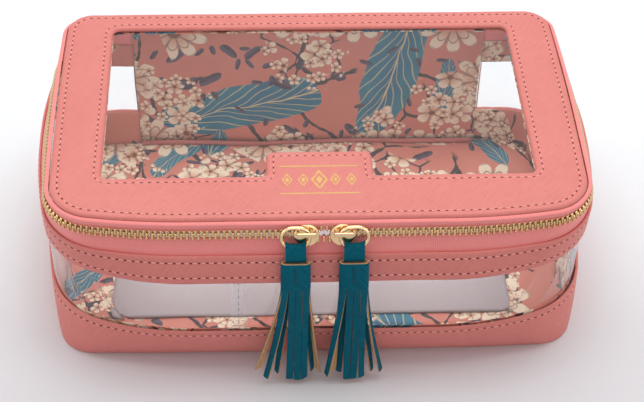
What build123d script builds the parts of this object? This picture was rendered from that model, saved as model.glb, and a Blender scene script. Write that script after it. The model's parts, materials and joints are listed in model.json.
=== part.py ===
from build123d import *
import math
import os

os.makedirs("parts", exist_ok=True)

# Outline of the lid and heights of the seams, in millimetres
LID_LENGTH = 246.0
LID_DEPTH = 150.5
HEIGHT = 91.0
ZIP_HEIGHT = 82.5
BAND_TOP = 73.0
WINDOW_TOP = 59.0
WINDOW_BOTTOM = 26.5
LID_RADIUS, LID_BACK_RADIUS = 21.0, 12.5
LID_BOW = 3.5
LID_END_BOW = 0.8
STRAIGHT_FRONT = 58.0

# How far the soft wall stands out beyond the lid's edge, at the ends and in front
BASE_OUT, BASE_OUT_FRONT, BASE_RADIUS, BASE_BACK_RADIUS = 3.4, -1.2, 16.0, 17.0
TOE_OUT, TOE_OUT_FRONT, TOE_RADIUS, TOE_BACK_RADIUS = 6.7, 4.6, 29.0, 19.0
SHOULDER_OUT, SHOULDER_OUT_FRONT, SHOULDER_RADIUS, SHOULDER_BACK_RADIUS = 9.6, 9.5, 42.0, 22.0
BELLY_OUT, BELLY_OUT_FRONT, BELLY_RADIUS, BELLY_BACK_RADIUS = 10.3, 10.8, 45.0, 23.0
BAND_OUT, BAND_OUT_FRONT, BAND_RADIUS, BAND_BACK_RADIUS = 9.6, 5.8, 36.0, 22.0
ZIP_OUT, ZIP_OUT_FRONT, ZIP_RADIUS, ZIP_BACK_RADIUS = 5.8, 2.8, 28.0, 17.0
TOE_HEIGHT = 9.0
BASE_BOW = 1.0
WALL_BOW = 4.4
WALL_END_BOW = 4.0
ZIP_END_BOW = 2.0

# Sheet thicknesses and the gap left between two sewn layers
LEATHER = 1.4
CLEAR_SHEET = 0.4
LINING = 0.45
TAPE = 0.75
BOARD = 2.0
CARD = 0.5
LID_LEATHER = 2.0
LAYER_GAP = 0.05
FLOOR_EASE = 0.5
SEAM_LAP = 4.0

# Panels
BACK_HALF = 91.0
WINDOW_SEAM = -38.0
OPENING_HALF = 99.5
OPENING_FRONT = 47.5
OPENING_BACK = 62.5
OPENING_RADIUS = 3.5
TAB_HALF = 24.5
TAB_REACH = 16.5
TAB_RADIUS = 3.5
PIPING_RADIUS = 1.3
CARD_LENGTH, CARD_DEPTH, CARD_FRONT = 196.0, 88.0, 55.0
CARD_SHIFT = -2.0

# Zip
PITCH = 2.54
TOOTH_WIDTH = 1.2
TOOTH_THICK = 2.6
TOOTH_FOOT = 2.4
TOOTH_TIP = 0.9
TOOTH_GRIP = 1.0
ZIP_END = 20.0
STOP_LENGTH = 5.0
ZIP_PARTING = 2.1
PARTING_FULL = 4.8
PARTING_END = 9.6
HINGE_GAP = 0.15

# Sliders, their bridges, rings and tassels
SLIDER_NOSE = 1.5
RIGHT_SHIFT = 1.8
SLIDER_WIDE = 5.5
SLIDER_NARROW = 3.7
SLIDER_LENGTH = 11.6
PLATE = 1.1
PLATE_CLEARANCE = 0.3
POST_HALF = 0.6
POST_LENGTH = 2.2
LIP = 0.9
TAPE_SLOT = 0.65
BRIDGE_LENGTH = 8.6
BRIDGE_WIDTH = 1.4
BRIDGE_LEG = 1.4
BRIDGE_BAR = 1.2
BRIDGE_RISE = 3.8
BRIDGE_PLACE = 7.4
BRIDGE_UP = 2.3
WIRE = 0.85
RING_HALF_WIDTH = 6.25
RING_HALF_HEIGHT = 4.8
RING_CROSSING = 37.0
CROSSING_UP = 0.5
CROSSING_IN = 0.5
RING_CLEARANCE = 1.1
STRAP_WIDTH = 9.6
STRAP_THICK = 0.7
STRAP_CLEARANCE = 0.15
STRAP_LENGTH = 7.0
HEAD_WIDTH = 13.5
HEAD_DEPTH = 5.0
HEAD_LENGTH = 13.5
STRIP_THICK = 1.0
STRIP_GAP = 0.25
STRIP_TOP_GAP = 0.2
HEAD_INSET = 0.2
ROW_STEP = 2.2
KNEE_SHARE = 0.7
KNEE_SPLAY = 0.25
TIP_FORWARD = 3.2
STRIPS_FRONT = 4
STRIPS_BACK = 5
TIP_HEIGHT = 4.3
FRONT_SPLAY = 1.75
BACK_SPLAY = 2.3
TASSEL_CLEARANCE = 0.4


class Section:
    """One level ring of the bag's wall: a straight front, bowed ends and a flat back."""

    def __init__(self, z, out, out_front, bow, end_bow, radius, back_radius):
        self.z = z
        self.half = LID_LENGTH / 2 + out
        self.front = LID_DEPTH / 2 + out_front
        self.bow = bow
        self.end_bow = end_bow
        self.radius = radius
        self.back_radius = back_radius


BACK = LID_DEPTH / 2
BELLY_HEIGHT = (WINDOW_TOP + WINDOW_BOTTOM) / 2
SHOULDER = SHOULDER_OUT, SHOULDER_OUT_FRONT, WALL_BOW, WALL_END_BOW, SHOULDER_RADIUS, SHOULDER_BACK_RADIUS
SECTIONS = [
    Section(0.0, BASE_OUT, BASE_OUT_FRONT, BASE_BOW, WALL_END_BOW / 2, BASE_RADIUS, BASE_BACK_RADIUS),
    Section(TOE_HEIGHT, TOE_OUT, TOE_OUT_FRONT, WALL_BOW / 2, WALL_END_BOW * 3 / 4, TOE_RADIUS, TOE_BACK_RADIUS),
    Section(WINDOW_BOTTOM, *SHOULDER),
    Section(BELLY_HEIGHT, BELLY_OUT, BELLY_OUT_FRONT, WALL_BOW, WALL_END_BOW, BELLY_RADIUS, BELLY_BACK_RADIUS),
    Section(WINDOW_TOP, *SHOULDER),
    Section(BAND_TOP, BAND_OUT, BAND_OUT_FRONT, WALL_BOW - 0.4, WALL_END_BOW, BAND_RADIUS, BAND_BACK_RADIUS),
    Section(ZIP_HEIGHT, ZIP_OUT, ZIP_OUT_FRONT, LID_BOW, ZIP_END_BOW, ZIP_RADIUS, ZIP_BACK_RADIUS),
    Section(HEIGHT, 0.0, 0.0, LID_BOW, LID_END_BOW, LID_RADIUS, LID_BACK_RADIUS),
]
ZIP_RING = SECTIONS[6]


def unit(x, y):
    size = math.hypot(x, y)
    return x / size, y / size


def ring_geometry(section):
    """Centre and radius of each arc of the right-hand side: front sweep, corner, end, back corner."""
    r, back_r = section.radius, section.back_radius
    reach = section.half - r - STRAIGHT_FRONT
    sweep = (reach**2 + section.bow**2) / (2 * section.bow)
    span = (section.front + BACK) / 2 - (r + back_r) / 2
    end = (span**2 + section.end_bow**2) / (2 * section.end_bow)
    sweep_at = (STRAIGHT_FRONT, sweep - section.front)
    end_at = (section.half - end, (BACK - back_r - section.front + r) / 2)
    # The corner circle touches both big circles from inside
    dx, dy = end_at[0] - sweep_at[0], end_at[1] - sweep_at[1]
    apart = math.hypot(dx, dy)
    a = ((sweep - r) ** 2 - (end - r) ** 2 + apart**2) / (2 * apart)
    h = math.sqrt((sweep - r) ** 2 - a**2)
    ux, uy = dx / apart, dy / apart
    options = [(sweep_at[0] + a * ux + s * h * uy, sweep_at[1] + a * uy - s * h * ux) for s in (1, -1)]
    corner_at = max(options, key=lambda p: p[0])
    back_y = BACK - back_r
    back_x = end_at[0] + math.sqrt((end - back_r) ** 2 - (back_y - end_at[1]) ** 2)
    return [(sweep_at, sweep), (corner_at, r), (end_at, end), ((back_x, back_y), back_r)]


def ring_pieces(section, inset):
    """Start, middle and end points of each run of the right half, from front to back."""
    arcs = ring_geometry(section)
    (sweep_at, _), (corner_at, _), (end_at, _), (back_at, _) = arcs
    to_corner = unit(corner_at[0] - sweep_at[0], corner_at[1] - sweep_at[1])
    to_end = unit(corner_at[0] - end_at[0], corner_at[1] - end_at[1])
    to_back = unit(back_at[0] - end_at[0], back_at[1] - end_at[1])
    turns = [(0.0, -1.0), to_corner, to_end, to_back, (0.0, 1.0)]
    pieces = []
    for (centre, radius), a, b in zip(arcs, turns, turns[1:]):
        middle = unit(a[0] + b[0], a[1] + b[1])
        reach = radius - inset
        pieces.append([(centre[0] + d[0] * reach, centre[1] + d[1] * reach) for d in (a, middle, b)])
    return pieces


def ring_wire(section, inset):
    right = ring_pieces(section, inset)
    z = section.z

    def at(point, side):
        return (side * point[0], point[1], z)

    edges = [Line(at(right[0][0], -1), at(right[0][0], 1))]
    edges += [ThreePointArc(at(a, 1), at(m, 1), at(b, 1)) for a, m, b in right]
    edges.append(Line(at(right[-1][2], 1), at(right[-1][2], -1)))
    edges += [ThreePointArc(at(b, -1), at(m, -1), at(a, -1)) for a, m, b in reversed(right)]
    return Wire([edge.edge() for edge in edges])


lofts = {}


def bag_form(inset):
    """The whole bag as one smooth solid, drawn in by the inset."""
    if inset not in lofts:
        lofts[inset] = Solid.make_loft([ring_wire(section, inset) for section in SECTIONS])
    return lofts[inset]


def block(x0, x1, y0, y1, z0, z1):
    return Pos((x0 + x1) / 2, (y0 + y1) / 2, (z0 + z1) / 2) * Box(x1 - x0, y1 - y0, z1 - z0)


FAR = LID_LENGTH


def slab(z0, z1):
    return block(-FAR, FAR, -FAR, FAR, z0, z1)


def back_block(half, z0, z1):
    return block(-half, half, BACK - 2 * ZIP_END, BACK + 2 * ZIP_END, z0, z1)


def wall(outer, inner, z0, z1):
    """A band of the wall between two insets, open where the back panel goes."""
    band = (bag_form(outer) & slab(z0, z1)) - bag_form(inner)
    return band - back_block(BACK_HALF + LAYER_GAP, z0 - 1, z1 + 1)


def back_layer(outer, inner, z0, z1):
    return ((bag_form(outer) & slab(z0, z1)) - bag_form(inner)) & back_block(BACK_HALF, z0, z1)


def level_plate(section, inset, z, thick):
    flat = Section(z, 0, 0, section.bow, section.end_bow, section.radius, section.back_radius)
    flat.half, flat.front = section.half, section.front
    return extrude(Face(ring_wire(flat, inset)), thick)


def save(name, shape):
    solids = shape.solids() if hasattr(shape, "solids") else [s for piece in shape for s in piece.solids()]
    export_step(solids[0] if len(solids) == 1 else Compound(children=solids), f"parts/{name}.step")


# Insets of the layers, from the outside in
SHEET_OUT = LEATHER + LAYER_GAP
SHEET_BEHIND = SHEET_OUT + CLEAR_SHEET + LAYER_GAP
LINING_OUT = SHEET_BEHIND + CLEAR_SHEET + LAYER_GAP
LINING_IN = LINING_OUT + LINING
TAPE_IN = SHEET_OUT + TAPE

# Heights of the floor's layers
BOARD_Z = LEATHER + LAYER_GAP
FLOOR_Z = BOARD_Z + BOARD + LAYER_GAP
FLOOR_TOP = FLOOR_Z + LINING


def make_floor():
    base = SECTIONS[0]
    save("base_panel", level_plate(base, SHEET_OUT + LAYER_GAP, 0.0, LEATHER))
    save("base_board", level_plate(base, SHEET_OUT + FLOOR_EASE, BOARD_Z, BOARD))
    save("floor_lining", level_plate(base, SHEET_OUT + FLOOR_EASE, FLOOR_Z, LINING))
    y = BACK - LINING_IN - PIPING_RADIUS - LAYER_GAP
    z = FLOOR_TOP + PIPING_RADIUS + LAYER_GAP
    rod = Pos(0, y, z) * Rot(0, 90, 0) * Cylinder(PIPING_RADIUS, 2 * BACK_HALF - 2)
    save("floor_piping", rod)
    card_y = CARD_DEPTH / 2 - CARD_FRONT
    card_z = FLOOR_TOP + LAYER_GAP + CARD / 2
    save("insert_card", Pos(CARD_SHIFT, card_y, card_z) * Box(CARD_LENGTH, CARD_DEPTH, CARD))


def make_walls():
    lining_z = FLOOR_TOP + LAYER_GAP
    save("lower_band", wall(0.0, LEATHER, 0.0, WINDOW_BOTTOM))
    save("lower_band_lining", wall(LINING_OUT, LINING_IN, lining_z, WINDOW_BOTTOM))
    save("upper_band", wall(0.0, LEATHER, WINDOW_TOP, BAND_TOP))
    save("upper_band_lining", wall(LINING_OUT, LINING_IN, WINDOW_TOP, BAND_TOP))
    low, high = WINDOW_BOTTOM - SEAM_LAP, WINDOW_TOP + SEAM_LAP
    left = block(-FAR, WINDOW_SEAM + SEAM_LAP, -FAR, FAR, low, high)
    right = block(WINDOW_SEAM - SEAM_LAP, FAR, -FAR, FAR, low, high)
    save("window_left", wall(SHEET_OUT, SHEET_OUT + CLEAR_SHEET, low, high) & left)
    save("window_right", wall(SHEET_BEHIND, SHEET_BEHIND + CLEAR_SHEET, low, high) & right)
    top = ZIP_HEIGHT - HINGE_GAP
    save("back_panel", back_layer(0.0, LEATHER, 0.0, top))
    save("back_panel_lining", back_layer(SHEET_OUT, SHEET_OUT + LINING, lining_z, top))


LID_UNDER = HEIGHT - LID_LEATHER
LID_SHEET_Z = LID_UNDER - LAYER_GAP - CLEAR_SHEET
LID_BOARD = 1.2
LID_BOARD_Z = LID_UNDER - LAYER_GAP - LID_BOARD
LID_LINING_Z = LID_BOARD_Z - LAYER_GAP - LINING


def opening(grow):
    """The lid's window opening, with the tab that reaches into it from the front."""
    x, y0, y1 = OPENING_HALF + grow, -OPENING_FRONT - grow, OPENING_BACK + grow
    frame = Pos(0, (y0 + y1) / 2) * RectangleRounded(2 * x, y1 - y0, OPENING_RADIUS + grow)
    reach = TAB_REACH
    tab_half = TAB_HALF - grow
    tab = Pos(0, y0 + reach / 2 - TAB_RADIUS) * RectangleRounded(2 * tab_half, reach + 2 * TAB_RADIUS, TAB_RADIUS)
    return frame - tab


def lid_plate(inset, z, thick, grow):
    """A layer of the lid between its outer edge and the opening."""
    plate = level_plate(SECTIONS[-1], inset, z, thick)
    return plate - extrude(Pos(0, 0, z - 1) * opening(grow), thick + 2)


def make_lid():
    save("lid_frame", lid_plate(0.0, LID_UNDER, LID_LEATHER, 0.0))
    sheet = opening(SEAM_LAP)
    save("lid_window", extrude(Pos(0, 0, LID_SHEET_Z) * sheet, CLEAR_SHEET))
    edge = LINING_IN + 1
    save("lid_board", lid_plate(edge, LID_BOARD_Z, LID_BOARD, SEAM_LAP + LAYER_GAP))
    save("lid_lining", lid_plate(edge, LID_LINING_Z, LINING, 0.0))
    low = ZIP_HEIGHT + HINGE_GAP
    high = LID_UNDER - LAYER_GAP
    save("hinge_strip", back_layer(0.0, LEATHER, low, high))
    save("hinge_lining", back_layer(SHEET_OUT, SHEET_OUT + LINING, low, high))


def zip_path():
    """Runs of the zip's centre line: length, and a function from distance to place and heading."""
    depth = SHEET_OUT + TAPE / 2
    right = ring_pieces(ZIP_RING, depth)
    runs = [(STRAIGHT_FRONT, lambda d: (d, depth - ZIP_RING.front, 0.0))]
    for (a, m, b), (centre, outer) in zip(right[:3], ring_geometry(ZIP_RING)):
        radius = math.dist(a, centre)
        start = math.atan2(a[1] - centre[1], a[0] - centre[0])
        stop = math.atan2(b[1] - centre[1], b[0] - centre[0])

        def place(d, centre=centre, radius=radius, start=start):
            angle = start + d / radius
            x, y = centre[0] + radius * math.cos(angle), centre[1] + radius * math.sin(angle)
            return x, y, angle + math.pi / 2

        runs.append((radius * (stop - start), place))
    return runs


ZIP_RUNS = zip_path()
# The chain stops short of the back, where the tapes run on without teeth
CHAIN_HALF = sum(length for length, place in ZIP_RUNS) - ZIP_END


def zip_place(distance):
    """Place and heading on the zip's centre line, at a signed distance from the middle."""
    left = abs(distance)
    for length, place in ZIP_RUNS:
        if left <= length:
            break
        left -= length
    x, y, heading = place(min(left, length))
    return (x, y, heading) if distance >= 0 else (-x, y, -heading)


def zip_lean(heading):
    """Slope of the wall at the zip, less upright at the ends than in front."""
    front = ZIP_OUT_FRONT / (HEIGHT - ZIP_HEIGHT)
    side = BAND_OUT / (HEIGHT - BAND_TOP)
    return math.atan(front * math.cos(heading) ** 2 + side * math.sin(heading) ** 2)


def zip_plane(distance):
    """Local frame: x along the chain, y up the tape, z out of the bag."""
    x, y, heading = zip_place(distance)
    lean = zip_lean(heading)
    forward = Vector(math.cos(heading), math.sin(heading), 0)
    out = Vector(math.sin(heading) * math.cos(lean), -math.cos(heading) * math.cos(lean), math.sin(lean))
    return Plane(origin=(x, y, ZIP_HEIGHT), x_dir=forward, z_dir=out)


def parting(distance):
    """How far each row stands off the centre line between the two sliders."""
    share = (PARTING_END - abs(distance)) / (PARTING_END - PARTING_FULL)
    share = min(1.0, max(0.0, share))
    return ZIP_PARTING * share * share * (3 - 2 * share)


def teeth_row(side, phase):
    """One row of teeth: side is -1 below the centre line and 1 above it."""
    count = int(CHAIN_HALF / PITCH)
    foot, tip = TOOTH_FOOT, TOOTH_TIP
    rows = []
    for i in range(-count, count):
        distance = (i + phase) * PITCH
        middle = side * ((foot - tip) / 2 + parting(distance))
        tooth = Pos(0, middle, 0) * Box(TOOTH_WIDTH, foot + tip, TOOTH_THICK)
        rows.append(zip_plane(distance) * tooth)
    return rows


def make_zip():
    edge = TOOTH_FOOT - TOOTH_GRIP
    low, high = ZIP_HEIGHT - edge, ZIP_HEIGHT + edge
    x, end_y, heading = zip_place(CHAIN_HALF + PITCH + STOP_LENGTH)
    past = block(-FAR, FAR, end_y, FAR, BAND_TOP, LID_UNDER)
    lower = wall(SHEET_OUT, TAPE_IN, BAND_TOP - SEAM_LAP, low)
    lower += wall(SHEET_OUT, TAPE_IN, low - TOOTH_GRIP, ZIP_HEIGHT - HINGE_GAP) & past
    upper = wall(SHEET_OUT, TAPE_IN, high, LID_UNDER - LAYER_GAP)
    upper += wall(SHEET_OUT, TAPE_IN, ZIP_HEIGHT + HINGE_GAP, high + TOOTH_GRIP) & past
    save("lower_zip_tape", lower)
    save("upper_zip_tape", upper)
    save("lower_zip_teeth", teeth_row(-1, 0.25))
    save("upper_zip_teeth", teeth_row(1, 0.75))
    for name, side in (("lower_zip_stops", -1), ("upper_zip_stops", 1)):
        stops = []
        for end in (-1, 1):
            distance = end * (CHAIN_HALF + PITCH / 2 + STOP_LENGTH / 2)
            stop = Box(STOP_LENGTH, TOOTH_FOOT, TOOTH_THICK)
            stops.append(zip_plane(distance) * Pos(0, side * (TOOTH_FOOT / 2 + HINGE_GAP), 0) * stop)
        save(name, stops)


def slider_outline(side):
    """Teardrop plate outline, wide towards the middle of the bag."""
    wide_x = side * (SLIDER_NOSE + SLIDER_WIDE)
    narrow_x = side * (SLIDER_NOSE + SLIDER_LENGTH - SLIDER_NARROW)
    wide = Pos(wide_x, 0) * Circle(SLIDER_WIDE)
    narrow = Pos(narrow_x, 0) * Circle(SLIDER_NARROW)
    return make_hull([edge for part in (wide, narrow) for edge in part.edges()])


FRONT_PLANE = zip_plane(0.0)


def along(side):
    """How far the right slider, and all that hangs on it, stands further along the zip."""
    return RIGHT_SHIFT if side > 0 else 0.0


def slider_plane(side):
    return FRONT_PLANE * Pos(along(side), 0, 0)


CAVITY = TOOTH_THICK / 2 + PLATE_CLEARANCE
PLATE_TOP = CAVITY + PLATE
RING_LEVEL = PLATE_TOP + RING_CLEARANCE + WIRE
# The wire passes under the bridge where the ring's round end leans this way
CROSSING = math.radians(RING_CROSSING)
RING_SIDE = RING_HALF_WIDTH - RING_HALF_HEIGHT * (1 - math.cos(CROSSING))
RING_DROP = RING_HALF_HEIGHT * math.sin(CROSSING)
PIVOT_X = BRIDGE_PLACE - CROSSING_IN
PIVOT_Y = BRIDGE_UP + CROSSING_UP


def make_slider(name, side):
    outline = slider_outline(side)
    front = extrude(Pos(0, 0, CAVITY) * outline, PLATE)
    back = extrude(Pos(0, 0, -CAVITY - PLATE) * outline, PLATE)
    post_x = side * (SLIDER_NOSE + 0.5 + POST_LENGTH / 2)
    post = Pos(post_x, 0, 0) * Box(POST_LENGTH, 2 * POST_HALF, 2 * CAVITY)
    inner = offset(outline, -LIP)
    rim = extrude(Pos(0, 0, TAPE_SLOT) * (outline - inner), CAVITY - TAPE_SLOT)
    rim += extrude(Pos(0, 0, -CAVITY) * (outline - inner), CAVITY - TAPE_SLOT)
    lip_start = SLIDER_NOSE + SLIDER_WIDE
    lip_end = SLIDER_NOSE + SLIDER_LENGTH - SLIDER_NARROW + 1
    lips = rim & (Pos(side * (lip_start + lip_end) / 2, 0, 0) * Box(lip_end - lip_start, 4 * SLIDER_WIDE, 4 * CAVITY))
    body = front + back + post + lips
    save(f"{name}_body", slider_plane(side) * body)

    bar_z = PLATE_TOP + BRIDGE_RISE
    bar = Pos(0, 0, bar_z + BRIDGE_BAR / 2) * Box(BRIDGE_LENGTH, BRIDGE_WIDTH, BRIDGE_BAR)
    bar = fillet(bar.edges().filter_by(Axis.Y).group_by(Axis.Z)[-1], BRIDGE_BAR * 0.8)
    legs = [Pos(end * (BRIDGE_LENGTH - BRIDGE_LEG) / 2, 0, PLATE_TOP + BRIDGE_RISE / 2)
            * Box(BRIDGE_LEG, BRIDGE_WIDTH, BRIDGE_RISE) for end in (-1, 1)]
    bridge = Pos(side * BRIDGE_PLACE, BRIDGE_UP, 0) * (bar + legs[0] + legs[1])
    save(f"{name}_bridge", slider_plane(side) * bridge)


# The ring crosses the tunnel under the bridge and hangs beside it, parallel to the tape
RING_X = PIVOT_X + RING_SIDE
RING_Y = PIVOT_Y - RING_DROP


def oval_tube(radius):
    """A closed oval of round section, lying in the ring's own plane."""
    path = SlotOverall(2 * RING_HALF_WIDTH, 2 * RING_HALF_HEIGHT).wires()[0]
    return sweep(Plane(origin=path @ 0, z_dir=path % 0) * Circle(radius), path=path)


def make_ring(name, side):
    save(name, slider_plane(side) * Pos(side * RING_X, RING_Y, RING_LEVEL) * oval_tube(WIRE))


def ring_bottom():
    """World place of the wire's centre at the bottom of the ring, on the bag's middle plane."""
    return FRONT_PLANE.from_local_coords(Vector(0, RING_Y - RING_HALF_HEIGHT, RING_LEVEL))


def ring_pivot(side):
    return FRONT_PLANE.from_local_coords(Vector(side * PIVOT_X + along(side), PIVOT_Y, RING_LEVEL))


LEAN = zip_lean(0.0)
STRAP_IN = WIRE + STRAP_CLEARANCE
STRAP_OUT = STRAP_IN + STRAP_THICK
HEAD_TOP = STRAP_LENGTH + LAYER_GAP


def tassel_back(z):
    """How far forward the tassel's back lies at a height, resting on the bulging wall."""
    q = ring_bottom()
    line = q.Y + STRAP_OUT - (q.Z - z) * math.tan(LEAN)
    belly = -(LID_DEPTH / 2 + BELLY_OUT_FRONT + TASSEL_CLEARANCE)
    return max(line, belly)


def make_tassel(name, side):
    q = ring_bottom()
    x = side * RING_X + along(side)
    # The strap follows the wire of the ring and runs down as two leaves into the head
    hung = Pos(0, RING_HALF_HEIGHT, 0)
    saddle = (hung * oval_tube(STRAP_OUT)) & Box(STRAP_WIDTH, 2 * RING_HALF_HEIGHT, 3 * STRAP_OUT)
    leaf = Pos(0, -STRAP_LENGTH / 2 + WIRE, 0) * Box(STRAP_WIDTH, STRAP_LENGTH + 2 * WIRE, 2 * STRAP_OUT)
    inside = SlotOverall(2 * RING_HALF_WIDTH, 2 * RING_HALF_HEIGHT)
    leaf -= hung * extrude(inside, 2 * STRAP_OUT, both=True)
    strap = saddle + leaf - hung * oval_tube(STRAP_IN)
    lift = RING_Y - RING_HALF_HEIGHT
    frame = FRONT_PLANE * Pos(x, lift, RING_LEVEL)
    save(f"{name}_strap", frame * strap)

    head = extrude(SlotOverall(HEAD_WIDTH, HEAD_DEPTH), HEAD_LENGTH)
    head = Pos(0, -HEAD_TOP, HEAD_DEPTH / 2 - STRAP_OUT) * Rot(90, 0, 0) * head
    save(f"{name}_head", frame * head)

    foot = q.Z - (HEAD_TOP + HEAD_LENGTH + LAYER_GAP) * math.cos(LEAN)
    save(f"{name}_fringe", strips(x, foot))


def strips(x, foot):
    """Leather strips under the head, in a front row and a back row, splayed at the tips."""
    made = []
    for count, row, splay in ((STRIPS_BACK, 0, BACK_SPLAY), (STRIPS_FRONT, 1, FRONT_SPLAY)):
        forward = HEAD_INSET + row * ROW_STEP
        top = foot + (forward - STRAP_OUT) * math.sin(LEAN) - STRIP_TOP_GAP
        knee = top * KNEE_SHARE
        step = (HEAD_WIDTH - 2) / count
        for i in range(count):
            off = (i - (count - 1) / 2) * step
            levels = []
            for z, share in ((top, 0.0), (knee, KNEE_SPLAY), (TIP_HEIGHT, 1.0)):
                y = tassel_back(z) - forward - STRIP_THICK / 2 - share * TIP_FORWARD
                spread = 1 + share * (splay - 1)
                levels.append(Pos(x + off * spread, y, z) * Rectangle(step - STRIP_GAP, STRIP_THICK))
            made.append(loft(levels, ruled=True))
    return made


make_floor()
make_walls()
make_lid()
make_zip()
for word, side in (("left", -1), ("right", 1)):
    make_slider(f"slider_{word}", side)
    make_ring(f"ring_{word}", side)
    make_tassel(f"tassel_{word}", side)
print("ring bottom", ring_bottom(), "ring pivot", ring_pivot(1), "lean", round(math.degrees(LEAN), 2))
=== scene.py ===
# %% [markdown]
# A zip-around bag for game tiles. A coral cross-grain leather frame holds a clear window in the lid, two leather
# bands hold a clear window in the wall, and a gold zip with two sliders and two teal tassels closes it. The solids
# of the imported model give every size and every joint. This file dresses them: it builds each soft piece again as a
# thin, slightly uneven mesh, adds the sewing, and gives each surface its own finish.

# %% Load the frame
import json
import math
import random

import bmesh
import bpy
import numpy as np
from mathutils import Matrix, Vector, noise
from mathutils.geometry import delaunay_2d_cdt


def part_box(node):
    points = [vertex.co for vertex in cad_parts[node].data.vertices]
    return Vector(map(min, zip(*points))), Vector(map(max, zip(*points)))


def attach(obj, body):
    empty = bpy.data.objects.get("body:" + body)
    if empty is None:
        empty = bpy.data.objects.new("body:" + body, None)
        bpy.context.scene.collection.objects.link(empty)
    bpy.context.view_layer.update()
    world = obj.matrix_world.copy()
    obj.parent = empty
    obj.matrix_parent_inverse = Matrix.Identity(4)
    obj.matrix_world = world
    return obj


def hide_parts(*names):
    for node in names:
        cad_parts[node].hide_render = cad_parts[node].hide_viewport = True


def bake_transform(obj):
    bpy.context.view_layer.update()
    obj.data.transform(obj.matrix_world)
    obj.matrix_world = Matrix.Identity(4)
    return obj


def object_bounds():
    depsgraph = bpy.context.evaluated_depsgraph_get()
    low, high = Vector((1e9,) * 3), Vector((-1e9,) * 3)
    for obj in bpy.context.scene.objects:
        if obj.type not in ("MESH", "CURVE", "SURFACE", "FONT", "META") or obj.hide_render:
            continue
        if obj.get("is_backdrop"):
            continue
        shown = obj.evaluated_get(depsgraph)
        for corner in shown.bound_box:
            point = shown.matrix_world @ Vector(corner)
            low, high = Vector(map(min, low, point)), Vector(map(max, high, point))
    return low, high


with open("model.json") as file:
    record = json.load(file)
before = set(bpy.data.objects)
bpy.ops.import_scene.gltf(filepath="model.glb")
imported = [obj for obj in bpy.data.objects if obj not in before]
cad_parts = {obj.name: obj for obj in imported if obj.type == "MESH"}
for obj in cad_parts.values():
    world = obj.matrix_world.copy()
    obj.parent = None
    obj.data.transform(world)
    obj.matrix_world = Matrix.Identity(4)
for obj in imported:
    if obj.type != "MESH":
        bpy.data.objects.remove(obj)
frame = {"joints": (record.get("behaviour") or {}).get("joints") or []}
cad_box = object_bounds()
MM = 0.001

# %% [markdown]
# The camera comes first, so that every later choice can be judged in the picture. The photograph was taken from
# above and a little to the left, with a long lens. The place and turn below were found by laying the lid's four
# edges over the picture.

# %% Camera
PHOTO_WIDTH = 644
FOCAL_PX = 1536.5
CAMERA_AT = Vector((-0.0330, -0.5596, 0.56705))
RIGHT = Vector((0.99873, -0.04507, 0.02254))
UP = Vector((0.01498, 0.69270, 0.72104))

camera = bpy.data.objects.new("camera", bpy.data.cameras.new("camera"))
bpy.context.scene.collection.objects.link(camera)
camera.data.sensor_width = 36
camera.data.lens = FOCAL_PX / PHOTO_WIDTH * camera.data.sensor_width
up = (UP - RIGHT * UP.dot(RIGHT)).normalized()
back = RIGHT.normalized().cross(up)
camera.matrix_world = Matrix.Translation(CAMERA_AT) @ Matrix((RIGHT.normalized(), up, back)).transposed().to_4x4()
bpy.context.scene.camera = camera
bpy.context.scene.view_settings.view_transform = "Standard"
print("lens", round(camera.data.lens, 1), "mm")

# %% [markdown]
# The wall of the bag is soft and bulges. It is described by level rings, each with a straight front, two gently
# swept shoulders, round corners, bowed ends and a flat back. A smooth curve through the rings gives the wall at any
# height, and a distance round the bag and a height then name every point of it.

# %% Sizes read from the frame
frame_low, frame_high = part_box("lid_frame")
LID_HALF = frame_high.x
LID_FRONT = -frame_low.y
BACK = frame_high.y
HEIGHT = frame_high.z
ZIP_Z = next(j for j in frame["joints"] if j["name"] == "lid_hinge")["pos_m"][2]
BAND_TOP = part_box("upper_band")[1].z
WINDOW_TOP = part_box("upper_band")[0].z
WINDOW_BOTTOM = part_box("lower_band")[1].z
LEATHER = 1.4 * MM
SHEET_IN = LEATHER + 0.05 * MM
LINING_IN = 2.4 * MM
STRAIGHT_FRONT = 58 * MM
BACK_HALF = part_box("back_panel")[1].x
print("lid", LID_HALF, LID_FRONT, BACK, HEIGHT, "zip", ZIP_Z)

# Height, how far the wall stands out at the ends and in front, bow of the shoulders and of the ends, and radii of
# the front and back corners
RINGS = [
    (0.0, 3.4, -1.2, 1.0, 2.0, 16.0, 17.0),
    (9.0, 6.7, 4.6, 2.2, 3.0, 29.0, 19.0),
    (26.5, 9.6, 9.5, 4.4, 4.0, 42.0, 22.0),
    (42.75, 10.3, 10.8, 4.4, 4.0, 45.0, 23.0),
    (59.0, 9.6, 9.5, 4.4, 4.0, 42.0, 22.0),
    (73.0, 9.6, 5.8, 4.0, 4.0, 36.0, 22.0),
    (82.5, 5.8, 2.8, 3.5, 2.0, 28.0, 17.0),
    (91.0, 0.0, 0.0, 3.5, 0.8, 21.0, 12.5),
]
WIDEST = 3
# Steps on the straight front, the shoulder, the front corner, the end, the back corner and the flat back
RUN_STEPS = (24, 40, 60, 70, 60, 50)


def unit(v):
    return v / np.linalg.norm(v)


def distances(points):
    """Length of a line of points up to each of them."""
    return np.concatenate([[0], np.cumsum(np.linalg.norm(np.diff(points, axis=0), axis=1))])


def arc(centre, radius, start, stop, steps):
    """Points on an arc between two directions, without the first."""
    a = math.atan2(start[1], start[0])
    turn = math.atan2(start[0] * stop[1] - start[1] * stop[0], float(np.dot(start, stop)))
    angles = a + turn * np.arange(1, steps + 1) / steps
    return centre + radius * np.stack([np.cos(angles), np.sin(angles)], axis=1)


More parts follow.
